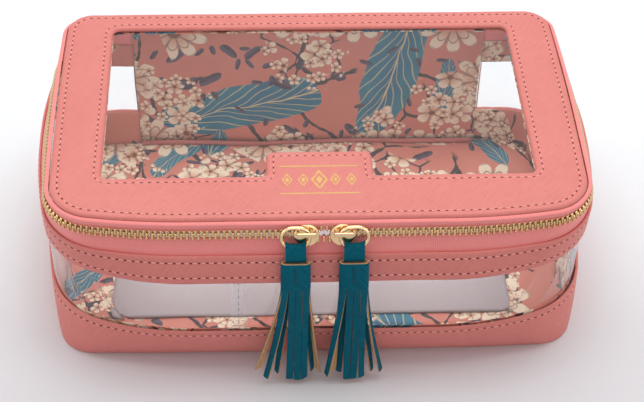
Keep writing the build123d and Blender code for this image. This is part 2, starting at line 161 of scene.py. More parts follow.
def half_ring(out, out_front, bow, end_bow, r, back_r):
    """Right half of a level ring, from the middle of the front to the middle of the back.

    The shoulder and the bowed end are arcs of large circles, and the front corner is the circle that touches both.
    """
    half, front = LID_HALF + out, LID_FRONT + out_front
    reach = half - r - STRAIGHT_FRONT
    sweep = (reach**2 + bow**2) / (2 * bow)
    span = (front + BACK) / 2 - (r + back_r) / 2
    end = (span**2 + end_bow**2) / (2 * end_bow)
    sweep_at = np.array([STRAIGHT_FRONT, sweep - front])
    end_at = np.array([half - end, (BACK - back_r - front + r) / 2])
    apart = end_at - sweep_at
    length = np.linalg.norm(apart)
    along = ((sweep - r) ** 2 - (end - r) ** 2 + length**2) / (2 * length)
    side = math.sqrt((sweep - r) ** 2 - along**2)
    e = apart / length
    corner = max((sweep_at + along * e + s * side * np.array([e[1], -e[0]]) for s in (1, -1)), key=lambda p: p[0])
    back_y = BACK - back_r
    back_at = np.array([end_at[0] + math.sqrt((end - back_r) ** 2 - (back_y - end_at[1]) ** 2), back_y])
    down, up = np.array([0.0, -1.0]), np.array([0.0, 1.0])
    c1, c2, c3 = unit(corner - sweep_at), unit(corner - end_at), unit(back_at - end_at)
    n = RUN_STEPS
    line = np.stack([np.linspace(0, STRAIGHT_FRONT, n[0] + 1), np.full(n[0] + 1, -front)], axis=1)
    arcs = [arc(sweep_at, sweep, down, c1, n[1]), arc(corner, r, c1, c2, n[2]), arc(end_at, end, c2, c3, n[3]),
            arc(back_at, back_r, c3, up, n[4])]
    last = arcs[-1][-1]
    rest = np.stack([np.linspace(last[0], 0, n[5] + 1)[1:], np.full(n[5], BACK)], axis=1)
    return np.concatenate([line] + arcs + [rest])


RING_Z = np.array([ring[0] for ring in RINGS]) * MM
RING_XY = np.stack([half_ring(*(v * MM for v in ring[1:])) for ring in RINGS])
BELT = distances(RING_XY[WIDEST])
HALF_ROUND = BELT[-1]
print("half way round the bag:", round(HALF_ROUND * 1000, 1), "mm")


def spline_matrix(x):
    """Second derivatives of a natural cubic through knots x, as a matrix on the values."""
    n = len(x)
    a, b = np.eye(n), np.zeros((n, n))
    for i in range(1, n - 1):
        h0, h1 = x[i] - x[i - 1], x[i + 1] - x[i]
        a[i, i - 1:i + 2] = h0, 2 * (h0 + h1), h1
        b[i, i - 1:i + 2] = 6 / h0, -6 / h0 - 6 / h1, 6 / h1
    return np.linalg.solve(a, b)


BEND = spline_matrix(RING_Z)


def wall_xy(u, z):
    """Plan place on the outer wall, u metres round the bag from the middle of the front."""
    u = (u + HALF_ROUND) % (2 * HALF_ROUND) - HALF_ROUND
    f = np.interp(np.abs(u), BELT, np.arange(len(BELT)))
    i = np.minimum(f.astype(int), len(BELT) - 2)
    t = (f - i)[None, :, None]
    values = RING_XY[:, i] * (1 - t) + RING_XY[:, i + 1] * t
    curve = np.einsum("ij,jnk->ink", BEND, values)
    k = np.clip(np.searchsorted(RING_Z, z) - 1, 0, len(RING_Z) - 2)
    h = (RING_Z[k + 1] - RING_Z[k])[:, None]
    a = (RING_Z[k + 1] - z)[:, None] / h
    b = 1 - a
    n = np.arange(len(u))
    xy = (a * values[k, n] + b * values[k + 1, n]
          + ((a**3 - a) * curve[k, n] + (b**3 - b) * curve[k + 1, n]) * h**2 / 6)
    xy[:, 0] *= np.where(u < 0, -1, 1)
    return xy


def wall(u, z, inset=0.0):
    """Points on the wall, drawn in by the inset, for arrays of distance and height."""
    u, z = np.broadcast_arrays(np.asarray(u, float), np.asarray(z, float))
    shape = u.shape
    u, z = u.ravel(), z.ravel()
    step = 0.4 * MM
    xy = wall_xy(u, z)
    tangent = wall_xy(u + step, z) - wall_xy(u - step, z)
    tangent /= np.linalg.norm(tangent, axis=1)[:, None]
    out = np.stack([tangent[:, 1], -tangent[:, 0]], axis=1)
    xy = xy - out * np.broadcast_to(inset, shape).ravel()[:, None]
    return np.concatenate([xy, z[:, None]], axis=1).reshape(shape + (3,))


def wall_out(u, z):
    """Unit normals that point out of the bag."""
    e = 0.5 * MM
    across = wall(u + e, z) - wall(u - e, z)
    rise = wall(u, z + e) - wall(u, z - e)
    n = np.cross(across, rise)
    return n / np.linalg.norm(n, axis=-1)[..., None]


# %% [markdown]
# Two small mesh builders do most of the work. One sweeps a closed profile of height and inset round the wall, for
# bands, tapes and clear sheets. The other fills a flat outline, with holes, with a fine net of points whose height
# can follow any function, for the lid and the floor. Both write a UV map in real metres, so that the grain, the
# weave and the print keep their real size on every piece.

# %% Mesh builders
def make_object(name, verts, faces, uvs=None, smooth=True):
    name = name.replace(" ", "_")
    mesh = bpy.data.meshes.new(name)
    mesh.from_pydata([tuple(v) for v in verts], [], faces)
    obj = bpy.data.objects.new(name, mesh)
    bpy.context.scene.collection.objects.link(obj)
    if uvs is not None:
        layer = mesh.uv_layers.new(name="UVMap")
        loops = np.zeros(len(mesh.loops), np.int32)
        mesh.loops.foreach_get("vertex_index", loops)
        layer.data.foreach_set("uv", np.asarray(uvs, np.float32)[loops].ravel())
    mesh.polygons.foreach_set("use_smooth", [smooth] * len(mesh.polygons))
    mesh.update()
    return obj


def swept_faces(rows, m, closed=False):
    """Faces over rows of m points, each row a closed ring, with both ends filled where the sweep is open."""
    faces = [(i * m + j, (i + 1) % rows * m + j, (i + 1) % rows * m + (j + 1) % m, i * m + (j + 1) % m)
             for i in range(rows if closed else rows - 1) for j in range(m)]
    if not closed:
        faces += [tuple(range(m))[::-1], tuple((rows - 1) * m + j for j in range(m))]
    return faces


def stacked_faces(rows, m):
    """The same for rings that lie above each other."""
    faces = [(r * m + j, r * m + (j + 1) % m, (r + 1) * m + (j + 1) % m, (r + 1) * m + j)
             for r in range(rows - 1) for j in range(m)]
    return faces + [tuple(range(m))[::-1], tuple((rows - 1) * m + j for j in range(m))]


def ruffle(points, size, scale, seed=0.0):
    """Smooth noise at each point, from -size to size."""
    return np.array([noise.noise(Vector(p) / scale + Vector((seed, seed, seed))) for p in points]) * size


def back_end(z):
    """Distance round the wall at which it meets the edge of the back panel, for each height."""
    u = np.linspace(HALF_ROUND - 2 * BACK_HALF, HALF_ROUND, 900)
    ends = []
    for height in np.atleast_1d(z):
        x = wall_xy(u, np.full(len(u), height))[:, 0]
        ends.append(np.interp(-BACK_HALF - 0.05 * MM, -x, u))
    return np.array(ends)


def band(name, profile, u0, u1, step=2.5 * MM, uneven=0.0, uneven_scale=0.03, bulge=None):
    """Sweeps a closed profile of (height, inset) pairs round the wall from u0 to u1.

    None stands for the edge of the back panel.
    """
    z = np.array([p[0] for p in profile])
    inset = np.array([p[1] for p in profile])
    low = -back_end(z) if u0 is None else np.full(len(z), u0)
    high = back_end(z) if u1 is None else np.full(len(z), u1)
    count = max(2, int((high - low).max() / step))
    around = distances(np.column_stack([z, inset]))
    m = len(profile)
    share = np.linspace(0, 1, count + 1)[:, None]
    grid_u = low * (1 - share) + high * share
    grid_z = np.broadcast_to(z, grid_u.shape)
    points = wall(grid_u, grid_z, np.broadcast_to(inset, grid_u.shape)).reshape(-1, 3)
    shift = np.zeros(len(points))
    if uneven:
        shift += ruffle(points, uneven, uneven_scale, len(name))
    if bulge is not None:
        shift += bulge(grid_u, grid_z).ravel()
    if uneven or bulge is not None:
        points = points + wall_out(grid_u, grid_z).reshape(-1, 3) * shift[:, None]
    uvs = np.stack([grid_u, np.broadcast_to(around, grid_u.shape)], axis=-1).reshape(-1, 2)
    return make_object(name, points, swept_faces(count + 1, m), uvs)


GROOVE, GROOVE_REACH = 0.22 * MM, 0.5 * MM


def strip_profile(z0, z1, inset, thick, round_off=0.35, rows=6, groove=()):
    """Closed profile of a strip with softly rounded edges and shallow grooves where it is sewn."""
    r = round_off * thick
    heights = list(np.linspace(z0 + r, z1 - r, rows))
    for g in groove:
        heights += [g - 0.9 * MM, g - 0.45 * MM, g, g + 0.45 * MM, g + 0.9 * MM]
    outer = []
    for h in sorted(heights):
        dip = sum(GROOVE * math.exp(-((h - g) / GROOVE_REACH) ** 2) for g in groove)
        outer.append((h, inset + dip))
    low = [(z0, inset + thick - r), (z0, inset + r), (z0 + 0.3 * r, inset + 0.3 * r)]
    high = [(z1 - 0.3 * r, inset + 0.3 * r), (z1, inset + r), (z1, inset + thick - r)]
    inner = [(h, inset + thick) for h in np.linspace(z1 - r, z0 + r, rows)]
    return low + outer + high + inner


def rounded_box(x0, x1, y0, y1, r, steps=8):
    """Counter-clockwise outline of a rectangle with round corners."""
    points = []
    for cx, cy, a in ((x1 - r, y0 + r, -90), (x1 - r, y1 - r, 0), (x0 + r, y1 - r, 90), (x0 + r, y0 + r, 180)):
        for k in range(steps + 1):
            angle = math.radians(a + 90 * k / steps)
            points.append((cx + r * math.cos(angle), cy + r * math.sin(angle)))
    return np.array(points)


def resample(loop, step):
    """The same closed outline with points a step apart."""
    closed = np.vstack([loop, loop[:1]])
    lengths = distances(closed)
    count = max(8, int(lengths[-1] / step))
    at = np.linspace(0, lengths[-1], count, endpoint=False)
    return np.stack([np.interp(at, lengths, closed[:, k]) for k in (0, 1)], axis=1)


def inside(points, loop):
    """Which points lie inside a closed outline."""
    x, y = points[:, 0], points[:, 1]
    hit = np.zeros(len(points), bool)
    a, b = loop, np.roll(loop, -1, axis=0)
    for (ax, ay), (bx, by) in zip(a, b):
        if ay != by:
            cross = ((ay > y) != (by > y)) & (x < (bx - ax) * (y - ay) / (by - ay) + ax)
            hit ^= cross
    return hit


def edge_distance(points, loops):
    """Distance from each point to the nearest outline point."""
    best = np.full(len(points), 1.0)
    for loop in loops:
        for start in range(0, len(points), 4000):
            part = points[start:start + 4000]
            d = np.linalg.norm(part[:, None] - loop[None], axis=2).min(axis=1)
            best[start:start + 4000] = np.minimum(best[start:start + 4000], d)
    return best


PLATE_SCALE = 0.03


def plate(name, outer, holes, z_top, thick, height, step=4 * MM, fine=1.1 * MM, fine_to=7 * MM, uneven=0.0):
    """A flat piece between outlines. height(x, y, d) lifts its upper face, d metres from the edge."""
    loops = [resample(outer, fine)] + [resample(h, fine) for h in holes]
    low, high = outer.min(axis=0), outer.max(axis=0)

    def net(space):
        xs, ys = np.arange(low[0], high[0], space), np.arange(low[1], high[1], space * 0.87)
        gx, gy = np.meshgrid(xs, ys)
        gx[1::2] += space / 2
        return np.stack([gx.ravel(), gy.ravel()], axis=1)

    def covered(points):
        keep = inside(points, loops[0])
        for hole in loops[1:]:
            keep &= ~inside(points, hole)
        return keep

    coarse, close = (points[covered(points)] for points in (net(step), net(fine)))
    dense = [resample(loop, fine / 3) for loop in loops]
    coarse = coarse[edge_distance(coarse, loops) > fine_to]
    d = edge_distance(close, dense)
    close = close[(d > 0.45 * fine) & (d <= fine_to)]
    flat = np.concatenate(loops + [coarse, close])
    edges, start = [], 0
    for loop in loops:
        n = len(loop)
        edges += [(start + i, start + (i + 1) % n) for i in range(n)]
        start += n
    verts, _, faces, *_ = delaunay_2d_cdt([Vector(p) for p in flat], edges, [], 0, 1e-7)
    flat = np.array([(v.x, v.y) for v in verts])
    faces = np.array(faces)
    faces = faces[covered(flat[faces].mean(axis=1))]
    d = edge_distance(flat, dense)
    n = len(flat)
    lift = height(flat[:, 0], flat[:, 1], d)
    if uneven:
        lift = lift + ruffle(np.column_stack([flat, np.zeros(n)]), uneven, PLATE_SCALE, len(name))
    top = np.column_stack([flat, z_top + lift])
    under = np.column_stack([flat, np.full(n, z_top - thick)])
    quads = [tuple(f) for f in faces] + [tuple(f[::-1] + n) for f in faces]
    # A side that only one triangle has lies on an outline, and gets an upright face
    sides = dict.fromkeys(side for a, b, c in faces for side in ((a, b), (b, c), (c, a)))
    quads += [(b, a, a + n, b + n) for a, b in sides if (b, a) not in sides]
    return make_object(name, np.vstack([top, under]), [tuple(int(i) for i in q) for q in quads],
                       np.concatenate([flat, flat]))


def plate_edge(r):
    """Height function of a plate whose upper edge is rounded over with radius r."""
    def height(x, y, d):
        inner = np.clip(r - d, 0, r)
        return np.sqrt(np.maximum(r * r - inner * inner, 0)) - r
    return height


def whole_ring(z, inset=0.0):
    """Closed outline of the wall at a height, counter-clockwise from above."""
    u = np.linspace(-HALF_ROUND, HALF_ROUND, 700, endpoint=False)
    return wall(u, np.full(len(u), z), inset)[:, :2]

# %% [markdown]
# Real leather is never one flat colour. The groups below are small effects that several finishes share: a
# cross-grain relief like the one that is pressed into such leather, with painted shade for its valleys, and a weave
# for tapes and lining. Each is built once as a node group and placed in each material with its own values.

# %% Shader helpers
def socket(tree, name, kind, way="INPUT", value=None):
    item = tree.interface.new_socket(name=name, in_out=way, socket_type="NodeSocket" + kind)
    if value is not None:
        item.default_value = value
    return item


class Nodes:
    """A short way to add and link shader nodes."""

    def __init__(self, tree):
        self.tree = tree

    def add(self, kind, **settings):
        node = self.tree.nodes.new("ShaderNode" + kind)
        for key, value in settings.items():
            setattr(node, key, value)
        return node

    def link(self, source, target):
        self.tree.links.new(source, target)

    def feed(self, target, value):
        if isinstance(value, bpy.types.NodeSocket):
            self.link(value, target)
        else:
            target.default_value = value

    def math(self, operation, a, b=0.0, c=None):
        node = self.add("Math", operation=operation)
        self.feed(node.inputs[0], a)
        self.feed(node.inputs[1], b)
        if c is not None:
            self.feed(node.inputs[2], c)
        return node.outputs[0]

    def mix(self, factor, a, b):
        node = self.add("Mix", data_type="RGBA", blend_type="MIX")
        self.feed(node.inputs[0], factor)
        self.feed(node.inputs[6], a)
        self.feed(node.inputs[7], b)
        return node.outputs[2]

    def ramp(self, value, low, high, out_low=0.0, out_high=1.0, smooth=True):
        node = self.add("MapRange", interpolation_type="SMOOTHSTEP" if smooth else "LINEAR")
        self.feed(node.inputs[0], value)
        for k, v in enumerate((low, high, out_low, out_high), start=1):
            self.feed(node.inputs[k], v)
        return node.outputs[0]

    def noise(self, vector, scale, detail=2.0):
        node = self.add("TexNoise")
        self.link(vector, node.inputs["Vector"])
        self.feed(node.inputs["Scale"], scale)
        node.inputs["Detail"].default_value = detail
        return node.outputs["Fac"]

    def map(self, vector, location=(0, 0, 0), turn=0.0):
        node = self.add("Mapping")
        self.link(vector, node.inputs["Vector"])
        node.inputs["Location"].default_value = location
        node.inputs["Rotation"].default_value = (0, 0, math.radians(turn))
        return node.outputs[0]

    def bump(self, shader, height, strength, distance):
        """Shades the surface as if the height stood out of it."""
        node = self.add("Bump")
        node.inputs["Strength"].default_value = strength
        node.inputs["Distance"].default_value = distance
        self.link(height, node.inputs["Height"])
        self.link(node.outputs[0], shader.inputs["Normal"])


def group(name, inputs, outputs):
    tree = bpy.data.node_groups.new(name, "ShaderNodeTree")
    for label, kind, value in inputs:
        socket(tree, label, kind, value=value)
    for label, kind in outputs:
        socket(tree, label, kind, "OUTPUT")
    nodes = Nodes(tree)
    return tree, nodes, tree.nodes.new("NodeGroupInput"), tree.nodes.new("NodeGroupOutput")


def use(nodes, tree, **values):
    node = nodes.tree.nodes.new("ShaderNodeGroup")
    node.node_tree = tree
    for key, value in values.items():
        nodes.feed(node.inputs[key.replace("_", " ")], value)
    return node


def colour(r, g, b):
    """A colour as seen on screen, 0 to 255, as the linear colour that shaders take."""
    def linear(c):
        c /= 255
        return c / 12.92 if c <= 0.04045 else ((c + 0.055) / 1.055) ** 2.4
    return linear(r), linear(g), linear(b), 1.0


# %% Cross grain
GRAIN, n, gin, gout = group(
    "cross grain",
    [("Vector", "Vector", None), ("Pitch", "Float", 0.001), ("Wobble", "Float", 0.3)],
    [("Height", "Float"), ("Tint", "Float")])
scale = n.math("DIVIDE", 1.0, gin.outputs["Pitch"])
wobble = n.noise(gin.outputs["Vector"], 260.0, 1.0)
lines = []
for turn, share in ((38, 1.0), (-50, 0.8)):
    split = n.add("SeparateXYZ")
    n.link(n.map(gin.outputs["Vector"], turn=turn), split.inputs[0])
    across = n.math("MULTIPLY", split.outputs[0], scale)
    shifted = n.math("MULTIPLY_ADD", wobble, n.math("MULTIPLY", gin.outputs["Wobble"], 4.0), across)
    wave = n.math("SINE", n.math("MULTIPLY", shifted, 2 * math.pi))
    streak = n.add("CombineXYZ")
    n.link(n.math("MULTIPLY", across, 2.5), streak.inputs[0])
    n.link(n.math("MULTIPLY", n.math("MULTIPLY", split.outputs[1], scale), 0.13), streak.inputs[1])
    broken = n.ramp(n.noise(streak.outputs[0], 1.0, 2.0), 0.35, 0.65, -0.9, 0.9, smooth=False)
    lines.append(n.math("MULTIPLY", n.math("MULTIPLY_ADD", wave, 0.55, broken), share))
height = n.math("ADD", lines[0], lines[1])
n.link(n.math("MULTIPLY_ADD", height, 0.3, 0.5), gout.inputs["Height"])
# Tint is low in the valleys of the grain, where the leathers darken their colour as painted shade.
n.link(n.ramp(height, -1.5, 0.3), gout.inputs["Tint"])

# %% Weave
WEAVE, n, gin, gout = group(
    "weave",
    [("Vector", "Vector", None), ("Pitch", "Float", 0.0006)],
    [("Height", "Float")])
split = n.add("SeparateXYZ")
n.link(gin.outputs["Vector"], split.inputs[0])
turns = n.math("DIVIDE", 2 * math.pi, gin.outputs["Pitch"])
zigzag = n.math("PINGPONG", split.outputs[1], n.math("MULTIPLY", gin.outputs["Pitch"], 1.6))
rib = n.math("SINE", n.math("MULTIPLY", n.math("ADD", split.outputs[0], zigzag), turns))
n.link(n.math("MULTIPLY_ADD", rib, 0.5, 0.5), gout.inputs["Height"])

# %% [markdown]
# The frame's leather is embossed: fine ridges cross each other, light breaks on them and the valleys look darker. The
# ridges are far finer than any mesh could hold, so a bump node draws them, and painted shade darkens the valleys'
# colour too. The coral leather has a thin coat that catches the light, and the teal leather of the tassels is deeper
# and duller. Gold, brass, foil and thread are plain finishes that differ in roughness, and a little noise keeps each
# of them from looking like plastic.

# %% Materials of leather, thread and gold
def new_material(name):
    material = bpy.data.materials.new(name)
    material.use_nodes = True
    tree = material.node_tree
    print("finish:", name)
    return material, Nodes(tree), tree.nodes["Principled BSDF"], tree.nodes["Material Output"]


def uv_of(n):
    return n.add("UVMap", uv_map="UVMap").outputs[0]


def object_of(n):
    return n.add("TexCoord").outputs["Object"]


def leather(name, base, dark, pitch=1.1 * MM, depth=0.64, rough=0.45, coat=0.06, valley_shade=0.3, shine=0.4):
    """Embossed leather: a cross grain, a slow cloudiness and valleys darkened as painted shade."""
    material, n, shader, out = new_material(name)
    at = uv_of(n)
    grain = use(n, GRAIN, Vector=at, Pitch=pitch, Wobble=0.12)
    clouds = n.noise(object_of(n), 28.0, 3.0)
    tint = n.mix(n.ramp(clouds, 0.3, 0.7, 0.0, 0.12), base, dark)
    # Painted shade: the grain's valleys are darkened towards the dark colour.
    tint = n.mix(n.math("MULTIPLY", n.math("SUBTRACT", 1.0, grain.outputs["Tint"]), valley_shade), tint, dark)
    n.link(tint, shader.inputs["Base Color"])
    n.link(n.ramp(grain.outputs["Height"], 0.2, 0.9, rough + 0.12, rough), shader.inputs["Roughness"])
    shader.inputs["Specular IOR Level"].default_value = shine
    shader.inputs["Coat Weight"].default_value = coat
    shader.inputs["Coat Roughness"].default_value = 0.35
    pores = n.noise(at, 2600.0, 2.0)
    n.bump(shader, n.math("MULTIPLY_ADD", pores, 0.25, grain.outputs["Height"]), depth, 0.12 * MM)
    return material


# Both leathers get painted shade in the valleys of their grain, the teal one most.
coral_leather = leather("coral cross grain leather", colour(223, 131, 122), colour(184, 92, 86))
teal_leather = leather("teal cross grain leather", colour(0, 98, 118), colour(0, 52, 64), pitch=1.0 * MM, rough=0.55,
                       depth=1.2, coat=0.0, valley_shade=0.7, shine=0.1)
tan_suede, n, shader, out = new_material("raw tan edge")
fuzz = n.noise(object_of(n), 1800.0, 3.0)
n.link(n.mix(n.ramp(fuzz, 0.3, 0.7), colour(168, 124, 82), colour(210, 166, 118)), shader.inputs["Base Color"])
shader.inputs["Roughness"].default_value = 0.9
n.bump(shader, fuzz, 0.5, 0.1 * MM)


def plain(name, base, rough, metallic=0.0, speckle=0.06, scale=900.0):
    """A smooth finish with a faint unevenness of colour, roughness and relief."""
    material, n, shader, out = new_material(name)
    spots = n.noise(object_of(n), scale, 3.0)
    darker = tuple(c * (1 - 2 * speckle) for c in base[:3]) + (1.0,)
    n.link(n.mix(spots, darker, base), shader.inputs["Base Color"])
    n.link(n.ramp(spots, 0.2, 0.8, rough * 0.85, min(1.0, rough * 1.2)), shader.inputs["Roughness"])
    shader.inputs["Metallic"].default_value = metallic
    n.bump(shader, spots, 0.3, 0.03 * MM)
    return material


gold = plain("pale gold metal", colour(246, 216, 168), 0.14, metallic=1.0, scale=300.0)
brass = plain("brushed brass teeth", colour(228, 192, 138), 0.26, metallic=1.0, speckle=0.1, scale=900.0)
foil = plain("gold foil", colour(214, 176, 104), 0.36, metallic=0.7, speckle=0.12, scale=700.0)
thread = plain("coral thread", colour(246, 170, 160), 0.7)
# The dark colour of the stitch holes is painted shade inside the needle holes.
hole = plain("stitch hole painted shade", colour(118, 42, 42), 0.9)
dark_thread = plain("teal thread", colour(4, 40, 50), 0.6)
board_grey = plain("board", colour(196, 186, 176), 0.9)
card_white = plain("pale card", colour(170, 157, 159), 0.75, speckle=0.01, scale=120.0)
piping_coral = plain("bound seam", colour(186, 104, 94), 0.7)

# %% [markdown]
# The zip's tape is woven ribbon with a soft sheen. The clear sheet is bent plastic. It is a see-through surface with a
# slow ripple, and for rays that look for a lamp a faint veil takes its place, so that light reaches the inside of the
# bag as it would through a thin sheet. Its cut edge is a finish of its own.

# %% Zip tape and clear sheet
zip_tape, n, shader, out = new_material("woven zip tape")
weave = use(n, WEAVE, Vector=uv_of(n), Pitch=0.95 * MM)
n.link(n.mix(weave.outputs[0], colour(240, 112, 112), colour(255, 172, 166)), shader.inputs["Base Color"])
shader.inputs["Roughness"].default_value = 0.75
shader.inputs["Sheen Weight"].default_value = 0.5
shader.inputs["Sheen Roughness"].default_value = 0.5
shader.inputs["Sheen Tint"].default_value = (1.0, 0.62, 0.6, 1.0)
n.bump(shader, weave.outputs[0], 0.6, 0.1 * MM)

clear_sheet, n, shader, out = new_material("clear sheet")
shader.inputs["Base Color"].default_value = (0.97, 0.985, 0.99, 1)
shader.inputs["Transmission Weight"].default_value = 1.0
shader.inputs["IOR"].default_value = 1.34
ripple = n.noise(object_of(n), 60.0, 2.0)
n.link(n.ramp(ripple, 0.2, 0.8, 0.0, 0.015), shader.inputs["Roughness"])
n.bump(shader, ripple, 0.12, 1.5 * MM)
veil = n.add("BsdfTransparent")
veil.inputs["Color"].default_value = (0.93, 0.94, 0.94, 1)
choose = n.add("MixShader")
n.link(n.add("LightPath").outputs["Is Shadow Ray"], choose.inputs[0])
n.link(shader.outputs[0], choose.inputs[1])
n.link(veil.outputs[0], choose.inputs[2])
n.link(choose.outputs[0], out.inputs["Surface"])

sheet_edge, n, shader, out = new_material("cut edge of the sheet")
n.link(n.mix(n.noise(object_of(n), 500.0), colour(236, 234, 238), colour(250, 250, 252)), shader.inputs["Base Color"])
shader.inputs["Alpha"].default_value = 0.12
shader.inputs["Roughness"].default_value = 0.4

# %% [markdown]
# The lining is a printed cloth: a coral ground with cream blossoms, dark twigs and broad teal leaves with pale gold
# veins. The print here is a pattern of its own, in those colours and at that scale. Cells of a Voronoi texture set
# where each motif sits and how it is turned, and simple formulas in each cell's own polar coordinates draw petals
# and leaves.

# %% Printed lining
PRINT, n, gin, gout = group(
    "motif cells",
    [("Vector", "Vector", None), ("Cell", "Float", 0.02), ("Petals", "Float", 5.0), ("Size", "Float", 0.4),
     ("Deep", "Float", 0.25), ("Stretch", "Float", 1.0), ("Chance", "Float", 0.5)],
    [("Mask", "Float"), ("Radius", "Float"), ("Angle", "Float"), ("Across", "Float")])
cells = n.add("TexVoronoi", voronoi_dimensions="2D", feature="F1")
cells.inputs["Randomness"].default_value = 0.75
n.link(gin.outputs["Vector"], cells.inputs["Vector"])
n.link(n.math("DIVIDE", 1.0, gin.outputs["Cell"]), cells.inputs["Scale"])
pick = n.add("SeparateColor")
n.link(cells.outputs["Color"], pick.inputs[0])
offset = n.add("VectorMath", operation="SUBTRACT")
scaled = n.add("VectorMath", operation="SCALE")
n.link(gin.outputs["Vector"], scaled.inputs[0])
n.link(n.math("DIVIDE", 1.0, gin.outputs["Cell"]), scaled.inputs["Scale"])
centre = n.add("VectorMath", operation="SCALE")
n.link(cells.outputs["Position"], centre.inputs[0])
n.link(n.math("DIVIDE", 1.0, gin.outputs["Cell"]), centre.inputs["Scale"])
n.link(scaled.outputs[0], offset.inputs[0])
n.link(centre.outputs[0], offset.inputs[1])
spin = n.add("VectorRotate", rotation_type="Z_AXIS")
n.link(offset.outputs[0], spin.inputs["Vector"])
n.link(n.math("MULTIPLY", pick.outputs[0], 2 * math.pi), spin.inputs["Angle"])
xyz = n.add("SeparateXYZ")
n.link(spin.outputs[0], xyz.inputs[0])
across = n.math("MULTIPLY", xyz.outputs[1], gin.outputs["Stretch"])
radius = n.math("SQRT", n.math("ADD", n.math("MULTIPLY", xyz.outputs[0], xyz.outputs[0]),
                               n.math("MULTIPLY", across, across)))
angle = n.math("ARCTAN2", across, xyz.outputs[0])
half_petals = n.math("MULTIPLY", gin.outputs["Petals"], 0.5)
lobes = n.math("ABSOLUTE", n.math("COSINE", n.math("MULTIPLY", angle, half_petals)))
rim = n.math("MULTIPLY", gin.outputs["Size"],
             n.math("SUBTRACT", 1.0, n.math("MULTIPLY", gin.outputs["Deep"], n.math("SUBTRACT", 1.0, lobes))))
body = n.ramp(n.math("SUBTRACT", rim, radius), 0.0, 0.02)
chosen = n.math("LESS_THAN", pick.outputs[1], gin.outputs["Chance"])
n.link(n.math("MULTIPLY", body, chosen), gout.inputs["Mask"])
n.link(n.math("DIVIDE", radius, gin.outputs["Size"]), gout.inputs["Radius"])
n.link(angle, gout.inputs["Angle"])
n.link(across, gout.inputs["Across"])


def with_twigs(n, cloth, at, bent, sprays):
    """Bent dark lines, thick ones and fine ones, that thin out and end."""
    for cells_per_metre, thin, cut in ((24.0, 0.017, 0.4), (62.0, 0.028, 0.5)):
        twigs = n.add("TexVoronoi", voronoi_dimensions="2D", feature="DISTANCE_TO_EDGE")
        n.link(bent, twigs.inputs["Vector"])
        twigs.inputs["Scale"].default_value = cells_per_metre
        swell = n.ramp(n.noise(at, 160.0, 2.0), 0.3, 0.7, 0.5, 1.7)
        edge = n.math("DIVIDE", twigs.outputs["Distance"], swell)
        line = n.math("MULTIPLY", n.ramp(edge, thin, thin * 1.5, 1.0, 0.0), n.ramp(sprays, cut, cut + 0.03))
        cloth = n.mix(line, cloth, colour(52, 42, 48))
    return cloth


def with_broad_leaves(n, cloth, at, bent):
    """Leaves in blue greens, feathered with fine gold veins."""
    for cell, size, chance, moved in ((0.105, 0.46, 0.75, (0.31, 0.22, 0)), (0.052, 0.4, 0.28, (0.13, 0.61, 0))):
        leaf = use(n, PRINT, Vector=n.map(bent, location=moved), Cell=cell, Petals=2.0, Size=size, Deep=0.15,
                   Stretch=2.9, Chance=chance)
        across = n.math("ABSOLUTE", leaf.outputs["Across"])
        ahead = n.math("MULTIPLY", leaf.outputs["Radius"], n.math("COSINE", leaf.outputs["Angle"]))
        waved = n.math("MULTIPLY_ADD", n.noise(at, 70.0, 1.0), 1.6, n.math("MULTIPLY", ahead, 62.0 * size))
        veins = n.math("SINE", n.math("MULTIPLY_ADD", n.math("POWER", across, 0.7), -42.0, waved))
        deep = n.mix(n.noise(at, 55.0, 2.0), colour(0, 78, 122), colour(24, 156, 172))
        deep = n.mix(n.ramp(across, 0.0, 0.34), colour(0, 110, 146), deep)
        deep = n.mix(n.ramp(veins, 0.84, 1.0), deep, colour(204, 194, 140))
        deep = n.mix(n.ramp(across, 0.006, 0.014, 1.0, 0.0), deep, colour(222, 204, 148))
        cloth = n.mix(leaf.outputs["Mask"], cloth, deep)
    return cloth


def with_small_leaves(n, cloth, bent):
    """Dark leaves beside the twigs, each with a light and a deep half."""
    for cell, chance, moved in ((0.017, 0.2, (0.31, 0.17, 0)), (0.0095, 0.2, (0.11, 0.47, 0))):
        small = use(n, PRINT, Vector=n.map(bent, location=moved), Cell=cell, Petals=2.0, Size=0.36, Deep=0.3,
                    Stretch=1.8, Chance=chance)
        half = n.ramp(small.outputs["Across"], -0.02, 0.02)
        cloth = n.mix(small.outputs["Mask"], cloth, n.mix(half, colour(56, 46, 66), colour(88, 76, 96)))
    return cloth


